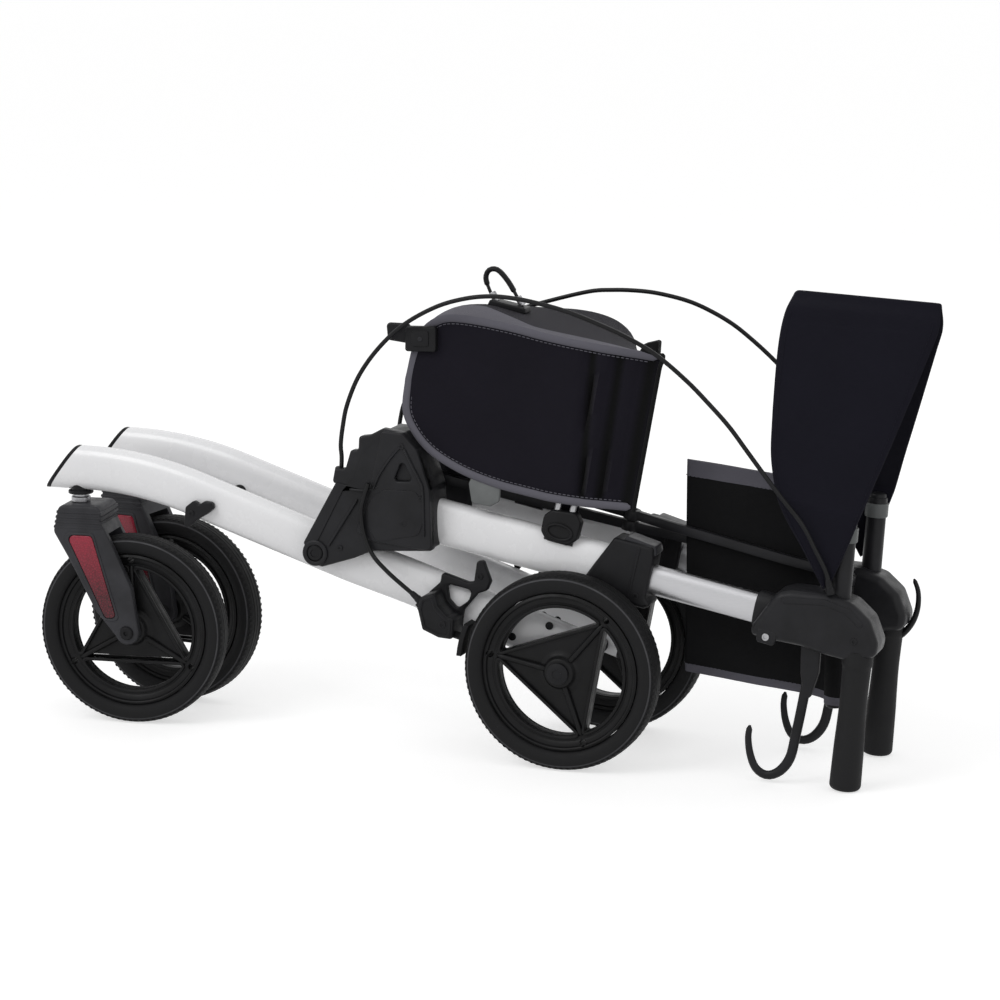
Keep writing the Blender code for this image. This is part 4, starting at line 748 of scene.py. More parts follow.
def rimMesh(firstWindow, bore):
    middles = [firstWindow + 120 * k for k in range(3)]
    corners = [ray(m + 60) for m in middles]
    seat = [(79.8, -11), (77.6, -12.2), (76.4, -11.6), (75.4, -9.4), (71, -8.8), (70, -7.8), (66.6, -7.4),
            (65.4, -6.2), (65.2, -3)]
    hub = [(bore, -14.6), (bore + 2, -14.8), (bore + 2.6, -13.6), (13.4, -13.6), (14.8, -12.6), (16, -8.6),
           (18.5, -6.6), (24, -5.6)]
    holes = [moved(pin(wheelLook["hole"], -20, 20, axis="Y"), at(*(corner * wheelLook["holeRing"])))
             for corner in corners]
    parts = [cut(weld(lathe(bothWays(seat, True), 128)), *holes), weld(lathe(bothWays(hub, True), 64)),
             plate([ring(66.2)] + [windowOutline(m) for m in middles] + [ring(bore + 2, 32)], -6, 6, 1.4)]
    for sign in (-1, 1):
        parts += [plate([windowOutline(m, 3.4), windowOutline(m, 0.1)], *span(sign, 4.8, 9.4), 1.1)
                  for m in middles]
        for corner in corners:
            line = [corner * (12 + 56 * k / 12) + Vector((0, sign * (7.2 - 1.6 * k / 12), 0))
                    for k in range(13)]
            parts.append(roundBar(line, wheelLook["spoke"], 16, 0.75, side=(0, 1, 0)))
    return joined(parts)


casterWheel = casterTurn @ at(layout["trail"], 0, layout["axle"])
rearWheel = shiftTurn @ at(0, layout["rearWheel"], layout["axle"])
for matrix, where, bore in ((casterWheel, "front", 4.3), (rearWheel, "rear", 6.3)):
    title, body = where.capitalize(), where + "_wheel"
    addPair(title + "Tyre", tyreMesh(), matrix, ["tyreRubber", "tyreEdge"], body)
    addPair(title + "Rim", rimMesh(wheelLook[where + "Window"], bore), matrix, "rimPlastic", body)
print("wheels done")

# Casters

forkLook = {"top": 232, "inner": 18.5, "outer": 26.5, "clearance": 105, "edge": 2.6, "foot": 13, "bands": 4,
            "bandStep": 5.2}


def lensOutline(grow=0.0):
    points = [(x, forkLook["top"] + z) for x, z in ((33, -117), (45, -117), (20, -31), (-7, -31))]
    return softOutline(inset(points, -grow), 5)


def forkMesh():
    top, outer, inner = forkLook["top"], forkLook["outer"], forkLook["inner"]
    edge = [(22, -110), (-7, -54), (-22, -28), (-16, 0), (30, 0), (30, -17), (46, -50), (62, -86)]
    foot = [(layout["trail"] + x, layout["axle"] + z)
            for x, z in (polar(forkLook["foot"], d) for d in range(20, -161, -15))]
    body = moulding([(x, top + z) for x, z in edge] + foot, 7, -outer, outer, forkLook["edge"], 4)
    slot = pin(forkLook["clearance"], -inner, inner, 144, "Y")
    body = cut(body, moved(slot, at(layout["trail"], 0, layout["axle"])))
    parts = []
    for sign in (-1, 1):
        body = cut(body, plate([lensOutline(0.4)], *span(sign, outer - 2, outer + 2), 0.2, 1))
        parts.append(plate([lensOutline(3), lensOutline(0.5)], *span(sign, outer - 1.2, outer + 1), 0.7))
    for k in range(forkLook["bands"]):
        z = top - 5.5 - forkLook["bandStep"] * k
        band = [(-17.6 - 1.1 * k, z), (31, z), (31, z - 2.6), (-18 - 1.1 * k, z - 2.6)]
        parts.append(plate([band], -outer - 0.7, outer + 0.7, 0.9))
    return joined([body] + parts)


def lensMesh():
    outer = forkLook["outer"]
    return joined([plate([lensOutline()], *span(sign, outer - 1.8, outer + 0.8), 0.8) for sign in (-1, 1)])


frontAxle = [(0, -27.8), (2.2, -27.8), (2.5, -29.4), (5.6, -29.7), (6.6, -29), (7.4, -26.8), (4, -26.6)]
stem = [(0, 206), (6, 206), (6, 232.2), (9, 232.3), (10, 233), (10, 237.4), (9.2, 238.2), (7.4, 238.4),
        (7.4, 240.4), (6, 240.5), (6, 281), (0, 281)]
addPair("Fork", forkMesh(), casterTurn, "forkPlastic", "caster", sharp=30)
addPair("Lens", lensMesh(), casterTurn, "redLens", "caster", "reflectors")
addPair("FrontAxle", lathe(bothWays(frontAxle), 48), casterWheel, "blackPlastic", "caster")
addPair("CasterStem", lathe(stem, 48, "Z"), casterTurn, "zincSteel", "caster")
print("casters done")

# Base tubes with what is pressed into or screwed to them

tubeLook = {"height": 46, "width": 26, "frontZ": 268.5, "bend": 400, "stemHalf": 58, "rearHalf": 50,
            "rearX": 23, "toeIn": (-245, -160), "capX": -551, "capLean": 37.3, "plugs": ((-21, 139), (-60, 125))}


def eased(t):
    t = min(1, max(0, t))
    return t * t * (3 - 2 * t)


def baseZ(x):
    return pivotZ - math.tan(math.radians(layout["slope"])) * (x - pivotX)


def baseY(x):
    low, high = tubeLook["toeIn"]
    start, end = tubeLook["stemHalf"], tubeLook["rearHalf"]
    return start + (end - start) * eased((x - low) / (high - low))


def basePath():
    slope, bend, frontZ = math.radians(layout["slope"]), tubeLook["bend"], tubeLook["frontZ"]
    start = pivotX - (frontZ - pivotZ) / math.tan(slope) - bend * math.tan(slope / 2)
    points = [(tubeLook["capX"] - 50, frontZ)]
    for a in (slope * k / 16 for k in range(17)):
        points.append((start + bend * math.sin(a), frontZ - bend * (1 - math.cos(a))))
    points += [(x, baseZ(x)) for x in (*range(-250, -150, 8), tubeLook["rearX"] + 20)]
    return [(x, baseY(x), z) for x, z in points]


def baseStretch(start, startNormal, end, endNormal):
    mesh = sweep(basePath(), ovalSection(tubeLook["height"], tubeLook["width"]), side=(0, 1, 0))
    return trimmed(trimmed(mesh, start, startNormal), end, endNormal)


def endPlug(place, normal, edge):
    plug = baseStretch(place + normal * 4.2, normal, place + normal * 0.3, -normal)
    return softened(plug, edge, 3, 50)


capEnd = Vector((tubeLook["capX"], 0, tubeLook["frontZ"])), ray(180 - tubeLook["capLean"])
rearEnd = Vector((tubeLook["rearX"], 0, baseZ(tubeLook["rearX"]))), ray(-layout["slope"])


def frontFittingMesh():
    bush = lathe([(6.3, 6), (10, 6), (10, -0.6), (12.4, -0.9), (13, -1.6), (13, -3.8), (12.2, -4.5), (6.3, -4.5),
                  (6.3, 6)], 48, "Z")
    under = tubeLook["frontZ"] - tubeLook["height"] / 2
    return joined([endPlug(*capEnd, 1.1), moved(weld(bush), at(*layout["stem"], under))])


def rearAxleMesh():
    axle = lathe([(0, 32), (10, 32), (10, 36.7), (6, 36.7), (6, 63.3), (10, 63.3), (10, 69.7), (6, 69.8),
                  (6, 100.2), (10.6, 100.3), (11, 101), (10.8, 102), (8, 103.2), (5, 103.8), (4.6, 103.3),
                  (0, 103.2)], 56)
    return joined([endPlug(*rearEnd, 1.2), moved(axle, at(0, 0, layout["axle"]))])


def lockHookMesh():
    # drawn around the hinge, with its screw's two heads and its bolt
    hook = moulding([(-147, 17), (-142, 16), (-131, 25), (-121, 31), (-114, 37), (-116, 43), (-124, 44),
                     (-130, 40), (-136, 44), (-145, 37)], 3, 71.3, 80, 1.8)
    heads = [screwHead((-138, 44.4, 31), (0, -1, 0), 7.4, 1.6),
             screwHead((-138, 80.2, 31), (0, 1, 0), 3.2, 0.9)]
    return joined([hook, moved(pin(4, 44, 73, axis="Y"), at(-138, 0, 31))] + heads)


hingePlace = shiftTurn @ at(pivotX, 0, pivotZ)
hingePin = lathe([(0, 41), (8, 41), (9, 41.8), (9, 44.7), (6, 44.7), (6, 84.3), (8, 84.3), (8, 85.8), (7, 86.8),
                  (4.2, 87), (4, 86.2), (0, 86.2)], 48, slots=[0] * 6 + [1] * 5)
tubePlugs = joined([screwHead((x, sign * 13.1 + baseY(x), z), (0, sign, 0), 4, 0.7)
                    for x, z in tubeLook["plugs"] for sign in (-1, 1)])
addPair("BaseTube", baseStretch(*capEnd, *rearEnd), shiftTurn, "whitePaint", "base")
addPair("FrontFitting", frontFittingMesh(), shiftTurn, "blackPlastic", "base")
addPair("RearAxle", rearAxleMesh(), shiftTurn, "blackPlastic", "base")
addPair("LockHook", lockHookMesh(), hingePlace, "blackPlastic", "base")
addPair("HingePin", hingePin, hingePlace, ["zincSteel", "blackPlastic"], "base")
addPair("TubePlugs", tubePlugs, shiftTurn, "blackPlastic", "base")
print("base tubes done")

# Rear brakes

brakeLook = {
    "inner": 63.3, "plate": 8, "outer": 97,
    "bracket": [(-132, 187), (-134, 177), (-146, 166), (-149, 154), (-144, 133), (-127, 126), (-112, 125),
                (-111, 140), (-109, 150), (-94, 168), (-84, 172), (-80, 181), (-88, 202), (-95, 201),
                (-98, 180), (-104, 179)],
    "hole": [(-127, 176), (-125, 160), (-116, 151), (-104, 160), (-100, 171)],
    "body": [(-146, 166), (-149, 154), (-144, 133), (-127, 126), (-112, 125), (-111, 140), (-110, 147),
             (-117, 148), (-127, 158), (-131, 171)],
}


def brakeHousingMesh():
    low, outer, body = brakeLook["inner"], brakeLook["outer"], brakeLook["body"]
    outlines = [softOutline(brakeLook["bracket"], 3), softOutline(brakeLook["hole"], 4)]
    rim = [softOutline(inset(body, 2.2), 3), softOutline(inset(body, 4.6), 2)]
    adjuster = lathe([(0, 0), (4.6, 0), (4.6, 5), (3.8, 5.6), (3.8, 9), (2.8, 9.6), (0, 9.6)], 24, "Z")
    return joined([plate(outlines, low, low + brakeLook["plate"], 1.8),
                   moulding(body, 3.5, low + 1, outer, 2.6, 4), plate(rim, outer - 1, outer + 0.9, 0.6),
                   moved(adjuster, at(-147, 83, 150) @ facing((-0.6, 0.05, 0.8)))]
                  + screws([(-122, 97.2, 140, 3.6), (-91, 71.4, 186, 3.2)]))


addPair("BrakeHousing", brakeHousingMesh(), shiftTurn, "blackPlastic", "base")
for side in sides:
    shoe = softened(nodeCopy(side + "_brake_shoe"), 0.7)
    addPiece(side + "BrakeShoe", shoe, "tyreRubber", side + "_brake_shoe")
print("brakes done")

# Hinge housings and handle columns, drawn in the column's frame

housingLook = {
    "cheek": (71.8, 84), "socketIn": 34.5, "socketOut": 86,
    "outline": [(-14, 5), (9, 76), (4, 80), (4, 90), (15, 93), (17, 113), (25, 115), (23, 129), (34, 133),
                (46, 143), (68, 144), (86, 131), (107, 94), (121, 34), (58, 17), (41, 5), (9, -13), (-9, -12)],
    "socket": [(38, 33), (58, 27), (121, 34), (107, 94), (86, 131), (68, 144), (46, 141), (44, 60)],
    "window": [(68, 94), (88, 99), (73, 118)],
    "raised": [(-14, 5), (9, 76), (40, 77), (55, 85), (65, 123), (60, 134), (44, 132), (30, 112), (26, 86),
               (16, 70), (-2, 8)],
    "face": [(46, 62), (51, 75), (62, 84), (93, 90), (103, 82), (108, 65), (105, 47), (79, 36), (64, 28),
             (51, 41)],
    "ribs": (((69, 130), (61, 116), (53, 97), (49, 80)),
             ((73, 130), (85, 115), (95, 103), (101, 92), (111, 47))),
    "beads": (((55, 85), (40, 77), (24, 74)), ((12, 10), (34, 66))),
    "screws": [(87, 86.2, 55, 3.4), (25, 84.2, 12, 2.8), (70, 86.2, 131, 3.0), (100, 86.2, 84, 2.6)],
}
columnLook = {"axis": (52, 58), "column": (62, 335, 46, 26), "post": (190, 520, 30, 18), "sleeve": (37, 25)}


def housingMesh():
    low, high = housingLook["cheek"]
    top, look = housingLook["socketOut"], housingLook
    window, socket = softOutline(look["window"], 3), softOutline(look["socket"], 5)
    knuckle = lathe([(8.6, 80), (12, 80), (13.6, 84), (13.2, 86), (11.8, 86.8), (10, 86.6), (8.9, 86),
                     (8.6, 80)], 56)
    ferrule = lathe([(0, -3), (4.2, -3), (5.2, -1), (5.2, 12), (4.4, 13.4), (3.2, 14), (0, 14)], 32, "Z")
    # the brace's pin slides between the clevis' two bores
    clevis = cut(moulding(box(63, 78, 87, 117), 2, 7, 37.5, 1.2),
                 plate([box(45, 86.7, 105, 108.8)], -5, 37, 0.1, 1),
                 *(moved(pin(4.3, 70, 125), at(75, y, 0)) for y in (16, 28)),
                 plate([box(70.7, 70, 79.3, 125)], 16, 28, 0.1, 1))
    parts = [cut(moulding(look["outline"], 3.4, low, high, 2.4, 4),
                 plate([window], high - 6.5, high + 4, 0.2, 1)),
             plate([socket], look["socketIn"], high - 4, 3, 4), plate([socket, window], high - 9, top, 2.2, 4),
             moulding(inset(look["raised"], 1), 3, high - 1, high + 1.2, 0.8),
             moulding(look["face"], 7, top - 1, top + 0.9, 0.7),
             weld(knuckle), moved(ferrule, at(8, 77.9, 78.3)), clevis]
    parts += [roundBar(track(line, top), 2.2, 12, 0.6, side=(0, 1, 0)) for line in look["ribs"]]
    parts += [roundBar(track(line, high + 1.2), 1.4, 10) for line in look["beads"]]
    return joined(parts + screws(look["screws"]))


def columnStretch(start, end, height, width):
    path = [(start + (end - start) * k / 16, *columnLook["axis"]) for k in range(17)]
    return sweep(path, ovalSection(height, width), side=(0, 1, 0))


def collarMesh():
    body = moulding([(298, 93), (339, 93), (341, 81), (341, 41), (348, 35), (341, 30), (269, 31), (282, 60)],
                    4, 36, 68, 3.4, 4)
    clamp = moulding([(303, 82), (309, 97), (340, 94), (344, 84)], 3, 39.5, 64.5, 2.2, 4)
    seam = moulding([(322, 34), (325, 34), (327, 90), (324, 90)], 1, 35.2, 68.8, 0.6)
    heads = screws([(331, 68.2, 41, 3)]) + screws([(331, 35.8, 41, 3)], -1)
    return joined([body, painted(clamp, 1), seam] + heads)


addPair("HingeHousing", housingMesh(), columnTurn, "greyPlastic", "column", sharp=30)
addPair("ColumnTube", columnStretch(*columnLook["column"]), columnTurn, "whitePaint", "column")
addPair("Collar", collarMesh(), columnTurn, ["blackPlastic", "clipPlastic"], "column",
        sharp=30)
addPair("PostTube", columnStretch(*columnLook["post"]), columnTurn, "satinAluminium", "post")
print("columns done")

# Handles

handleLook = {
    "half": 70, "topU": 560, "topN": 46, "tilt": 6.7, "radius": 15.5, "round": 5,
    "arm": (Vector((532, 66, 85)), Vector((521, 66, 169))),
    "bracket": [(455, 38), (453, 46), (471, 86), (484, 92), (522, 98), (546, 95), (566, 83), (579, 62),
                (579, 48), (549, 38), (528, 38), (505, 40), (475, 38)],
    "brow": [(476, 84), (520, 93), (545, 90), (562, 78), (558, 74), (542, 84), (520, 87), (480, 78)],
    "leverRoot": [(503, 45), (523, 45), (527, 17), (524, -10), (518, -12), (509, 13)],
    "lever": [(517, 12), (517, 0), (517.5, -28), (517.5, -52), (516.8, -75), (509.5, -91), (498, -98.5),
              (486, -95), (477.5, -83), (472, -67), (471, -54)],
    "prong": [(566, 30), (575, 38), (582, 52), (584, 68), (581, 84), (574, 96)],
    "gripWaist": [(0.1, 0.09), (0.4, 0.22), (0.8, 0.35), (1.5, 0.48), (2.0, 0.6), (2.1, 0.7), (1.8, 0.8),
                  (1.5, 0.87)],  # how far the grip draws in, and where along it
}


def bracketMesh():
    body = moulding(handleLook["bracket"], 13, 41.3, 84, 7.5, 8)
    slot = plate([box(498, 20, 530, 50)], 65.5, 74.5, 0.1, 1)
    sleeve = sweep([(u, *columnLook["axis"]) for u in (449, 450, 452, 470)], ovalSection(*columnLook["sleeve"]),
                   side=(0, 1, 0), sizes=[0.9, 0.97, 1, 1])
    brow = moulding(handleLook["brow"], 2.5, 82.5, 84.8, 0.9)
    lug = moulding([(462, 34), (480, 34), (481, 48), (460, 48)], 3.5, 74, 84.6, 1.4)
    zinc, black = screws([(470.5, 84.8, 41, 3.6), (556, 84.1, 60, 3.2)])
    return joined([cut(body, slot), sleeve, brow, lug, painted(zinc, 1), black])


def gripMesh():
    half, radius, soft = handleLook["half"], handleLook["radius"], handleLook["round"]
    lean = math.radians(layout["lean"] - handleLook["tilt"])
    top = inColumn(handleLook["topU"], 0, handleLook["topN"])
    # the height at which the rounded end just stands on the floor
    floor = (radius - soft) * math.sin(lean) + soft * (1 - math.cos(lean))
    end = Vector((top.x - (top.z - floor) * math.tan(lean), 0, floor))
    end = columnTurn.inverted() @ (end * milli) / milli
    top, end = Vector((handleLook["topU"], half, handleLook["topN"])), Vector((end.x, half, end.z))
    length = (end - top).length
    profile = [(0, 1.2), (6, 1.2), (7, 0)] + [(radius - soft + z, soft - x)
                                              for x, z in (polar(soft, d) for d in range(0, 91, 15))]
    profile += [(radius - drop, length * share) for drop, share in handleLook["gripWaist"]]
    profile += [(radius - drop, length + z) for drop, z in ((1.4, -13), (0.6, -12), (0.4, -9), (0.8, 3))]
    return moved(lathe(profile + [(0, length + 3)], 64, "Z"), at(*end) @ facing(top - end))


def leverMesh():
    half = handleLook["half"]
    hook = roundBar(track(handleLook["lever"], half, 4), 4, 20, 1.26, lambda t: 1 - 0.9 * max(0, t - 0.55),
                    (0, 1, 0))
    return joined([moulding(handleLook["leverRoot"], 4, half - 4, half + 4, 1.8, 4), hook])


def armMesh():
    low, high = handleLook["arm"]
    length = (high - low).length
    ends = [(10, -2), (9.4, -0.4), (8.6, 0), (8.6, 2.6), (7.8, 3.8), (6, 4.2), (0, 4.2)]
    profile = [(0, -1), (10, 0)] + [(radius, length + z) for radius, z in ends]
    return moved(lathe(profile, 40, "Z"), at(*low) @ facing(high - low))


def keeperMesh():
    # the loop on the arm that holds the strap's end
    low, high = handleLook["arm"]
    band = lathe([(10.05, -7), (11.2, -7), (11.7, -6), (11.7, 6), (11.2, 7), (10.05, 7), (10.05, -7)], 40, "Z")
    return moved(weld(band), at(*(low + (high - low).normalized() * 72)) @ facing(high - low))


# the upright hook on the far handle, for a bag or a walking stick
prong = roundBar(track(handleLook["prong"], 70, 3), 4.2, 18, 0.8, lambda t: 1.1 - 0.45 * t, (0, 1, 0))
addPiece("stickHook", moved(prong, columnTurn), "blackPlastic", "right_post")
addPair("HandleBracket", bracketMesh(), columnTurn, ["greyPlastic", "zincSteel"], "post",
        sharp=30)
addPair("Grip", gripMesh(), columnTurn, "gripRubber", "post")
addPair("BrakeLever", leverMesh(), columnTurn, "greyPlastic", "lever")
addPair("BackrestArm", armMesh(), columnTurn, "greyPlastic", "post")
addPair("StrapKeeper", keeperMesh(), columnTurn, "palePlastic", "post")
print("handles done")

# Seat: two cloths that hang folded from their rails

seatLook = {"end": 513, "half": 16, "levels": {"right": 92, "left": 103.5}, "railLow": 68, "railHigh": 299,
            "cloth": 2.0, "reach": 156.2, "slope": 6.0, "topBand": 14.5, "lowBand": 6.0, "rows": 54,
            "belly": 1.5, "ripple": 1.1, "drift": 0.9, "hem": 0.35, "flat": (0.198, 0.216),
            "opening": (17, -9, 16), "stitch": (4.2, 2.8, 0.45)}


def clothMesh(*sheets):
    # grids of points, each with flat places in metres as its UV; slotAt gives a face's slot, or None for a hole
    shape = bmesh.new()
    layer = shape.loops.layers.uv.new("cloth")
    for grid, places, slotAt in sheets:
        for i in range(len(grid) - 1):
            for k in range(len(grid[0]) - 1):
                around = [(i, k), (i + 1, k), (i + 1, k + 1), (i, k + 1)]
                corners = [grid[a][b] for a, b in around]
                kept = [n for n in range(4) if (corners[n] - corners[n - 1]).length > 0.01]
                if slotAt(i, k) is None or len(kept) < 3:
                    continue
                face = shape.faces.new([shape.verts.new(corners[n]) for n in kept])
                face.material_index = slotAt(i, k)
                for loop, n in zip(face.loops, kept):
                    loop[layer].uv = places[around[n][0]][around[n][1]]
    bmesh.ops.remove_doubles(shape, verts=shape.verts, dist=0.02)
    mesh = meshFrom(shape)
    mesh.transform(Matrix.Scale(milli, 4))
    return mesh


def plain(i, k):
    return 0


def railMesh(height):
    low, high = seatLook["railLow"] - height, seatLook["railHigh"] - height
    return lathe([(0, low), (7.4, low), (8.6, low + 0.6), (9, low + 1.8), (9, 7.9), (11.6, 8), (12.5, 8.6),
                  (12.5, 10.4), (11.6, 11), (9, 11.1), (9, high - 1.8), (8.6, high - 0.6), (7.4, high),
                  (0, high)], 40, "Z")


def seatSheet(height):
    # plan of the cloth: round the rail, then out towards the casters, 1.3 mm from the middle plane
    tail, fall = 1.3 - seatLook["half"], math.tan(math.radians(seatLook["slope"]))
    line = [polar(10.3, 150 - 21 * k) for k in range(15)] + [(-20, tail + 2.5)]
    plan = smoothLine(line + [(x, tail) for x in (-34, -60, -95, -130, -seatLook["reach"])], 3.2)
    rows, low = seatLook["rows"], seatLook["railLow"] + 4 - height
    step = (seatLook["railHigh"] - 11 - height - low) / rows
    bands = round(seatLook["lowBand"] / step), rows - round(seatLook["topBand"] / step)
    grid = []
    for spot in plan:
        away = min(1.0, max(0.0, (-spot.x - 24) / 60))
        column = []
        for j in range(rows + 1):
            belly = away * (seatLook["belly"] * math.sin(math.pi * j / rows)
                            + seatLook["ripple"] * math.sin(spot.x * 0.055 + j * 0.16)
                            + seatLook["drift"] * noise.noise(Vector((spot.x * 0.03, j * 0.12, 7))))
            hem = seatLook["hem"] if j < 2 or j > rows - 2 else 0
            column.append(Vector((spot.x, spot.y + max(0, belly) + hem, low + step * j - fall * spot.x)))
        grid.append(column)
    places = [[(i * 0.0032, j * step * milli) for j in range(rows + 1)] for i in range(len(plan))]

    def slotAt(i, j):
        reach, under, over = seatLook["opening"]
        if abs(plan[i].x) < reach and under < low + step * (j + 0.5) < over:
            return None  # the sleeve is open where the bar's eye and the stop ring sit
        return 0 if bands[0] <= j < bands[1] else 1

    parts = [changed(clothMesh((grid, places, slotAt)), "SOLIDIFY", thickness=seatLook["cloth"] * milli,
                     offset=0)]
    for j in bands:
        row = [Vector((p.x, p.y + 1.25, low + step * j - fall * p.x)) for p in plan if p.x < -26]
        parts.append(stitched(row, "pipingCloth", *seatLook["stitch"], 1))
    return joined(parts)


for side in sides:
    spot = inColumn(seatLook["end"], 0, seatLook["levels"][side])
    place = at(spot.x, seatLook["half"], spot.z)
    addPiece(side + "SeatRail", forSide(railMesh(spot.z), place, side), "greyPlastic", side + "_rail")
    seat = addPiece(side + "Seat", forSide(seatSheet(spot.z), place, side), ["seatCloth", "pipingCloth"],
                    side + "_seat", [side + "_seat_half"])
print("seat done")

# Backrest strap, from beside its arm up to the fold over the middle

strapLook = {
    "cloth": 2.5, "outer": 77.8, "inner": 1.35, "tip": 177, "top": 385, "columns": 22, "rows": 84,
    "belly": 2.6, "drift": 0.8, "ripple": 0.9, "flat": (0.132, 0.30), "area": 0.033, "stitch": (4.4, 3, 0.5),
    "edges": ([(515, 101), (488, 132), (459, 165), (436, 205), (424, 245), (411, 304), (407, 340), (410, 364)],
              [(520, 107), (528, 140), (535, 180), (540, 218), (546, 262), (555, 333), (558, 362), (553, 385)]),
}


def strapSheet():
    edges = [smoothLine(edge, 1.0) for edge in strapLook["edges"]]
    columns, rows, outer, inner, tip = (strapLook[key] for key in ("columns", "rows", "outer", "inner", "tip"))
    grid, places = [], []
    for t in (j / rows for j in range(rows + 1)):
        a, b = (edge[round(t * (len(edge) - 1))] for edge in edges)
        fold = min(1, max(0, (t - 0.955) / 0.045))  # the top rolls over onto the other half
        line = []
        for across in (i / columns for i in range(columns + 1)):
            p = a.lerp(b, across)
            rise = max(0.0, (p.y - tip) / (strapLook["top"] - tip))
            loose = min(1.0, rise * 4) * (1 - max(0, rise - 0.82) / 0.18)
            drift = noise.noise(Vector((p.x * 0.02, p.y * 0.02, 3)))
            y = outer - (outer - 2.8) * min(1, rise) ** 0.9
            y += loose * (strapLook["belly"] * math.sin(math.pi * across) - 1.2 + strapLook["drift"] * drift)
            y += (1 - min(1, t * 5)) * strapLook["ripple"] * (1 + math.sin(across * 9.4))
            y = max(inner, y) * (1 - fold) + inner * fold
            line.append(Vector((p.x, y, p.y - 1.6 * (1 - fold) * (t > 0.9))))
        grid.append(line)
        places.append([(i / columns * (b - a).length * milli, t * 0.29) for i in range(columns + 1)])
    cloth = changed(clothMesh((grid, places, plain)), "SOLIDIFY", thickness=strapLook["cloth"] * milli,
                    offset=0)
    parts = [changed(cloth, "SUBSURF", levels=1, render_levels=1)]
    for i in (1, columns - 1):
        row = [line[i] + Vector((0, 1.3, 0)) for line in grid[1:round(rows * 0.94)]]
        parts.append(stitched(row, "strapCloth", *strapLook["stitch"], 0))
    return joined(parts)


armTip = inColumn(521, 0, strapLook["tip"])
for side, sign in sides.items():
    start, end = (Vector((armTip.x, sign * 78, armTip.z + z)) * milli for z in (-50, 30))
    made = addPiece(side + "Strap", forSide(strapSheet(), columnTurn, side), ["strapCloth", "pipingCloth"],
                    (side + "_post", side + "_strap", start, end), [side + "_strap_half"])
print("backrest done")

# Bag between the columns: its far side stops sooner than its near side

bagLook = {
    "near": -70, "far": 66, "wall": 2.2, "along": 54, "up": 34, "across": 24, "border": 8, "strip": (48, 20),
    "tape": 2.132, "hem": 2.2, "stitch": (4.6, 3, 0.45), "lean": 8, "swell": 9.5, "dip": 1.2,
    "bulge": {"near": 3.4, "far": 1.8}, "drift": {"near": 1.3, "far": 2.0}, "middle": (185, 195),
    "lower": [(57, 196), (60, 165), (73, 145), (96, 128), (131, 117), (168, 112.5), (203, 112.5), (238, 114),
              (310, 123)],
    "upper": [(57, 196), (60, 238), (74, 261), (97, 271), (147, 275), (194, 275), (239, 277), (307, 281)],
    "farLower": [(61, 195), (63, 163), (74, 145), (94, 128), (122, 117), (148, 112.5), (180, 112.5), (210, 114),
                 (257, 117)],
    "farUpper": [(61, 195), (65, 234), (79, 254), (100, 264), (147, 273), (180, 279), (206, 280), (226, 276),
                 (241, 266), (250, 248), (252, 236)],
    # the place of each crease at the top, its slope, its width and how deep it goes
    "creases": [(240.7, 0.116, 3.6, 7.5), (249, 0.1, 5.0, -2.6), (268, 0.047, 4.0, 6.5),
                (277, 0.04, 5.5, -2.0)],
}


def shareOf(line, share):
    place = share * (len(line) - 1)
    k = min(int(place), len(line) - 2)
    return line[k].lerp(line[k + 1], place - k)


def nearSide(u, n):
    # where the near panel stands: it leans in past its first crease
    start = bagLook["creases"][0][0] + (269 - n) * bagLook["creases"][0][1]
    return bagLook["near"] + bagLook["lean"] * eased((u - start) / (308 - start))


def bagPanel(shares, lower, upper, near):
    bulge, loose = bagLook["bulge"], bagLook["drift"]
    grid = []
    for share, low, high in zip(shares, lower, upper):
        line = []
        for t in (j / bagLook["up"] for j in range(bagLook["up"] + 1)):
            spot = low.lerp(high, t)
            edge = math.sin(math.pi * t) ** 0.7 * min(1, share * 5, (1 - share) * 9)
            drift = edge * noise.noise(Vector((spot.x * 0.02, spot.y * 0.02, 2 if near else 9)))
            y = bagLook["far"] + bulge["far"] * edge + loose["far"] * drift
            if near:
                y = nearSide(*spot) - bulge["near"] * edge * (1 - 0.5 * share) - loose["near"] * drift
                for start, slope, width, deep in bagLook["creases"]:
                    away = (spot.x - start - (269 - spot.y) * slope) / width
                    y += deep * math.exp(-away * away) * min(1, math.sin(math.pi * t) * 4)
            line.append(Vector((spot.x, y, spot.y)))
        grid.append(line)
    return grid, [[(p.x * milli, p.z * milli) for p in line] for line in grid], plain


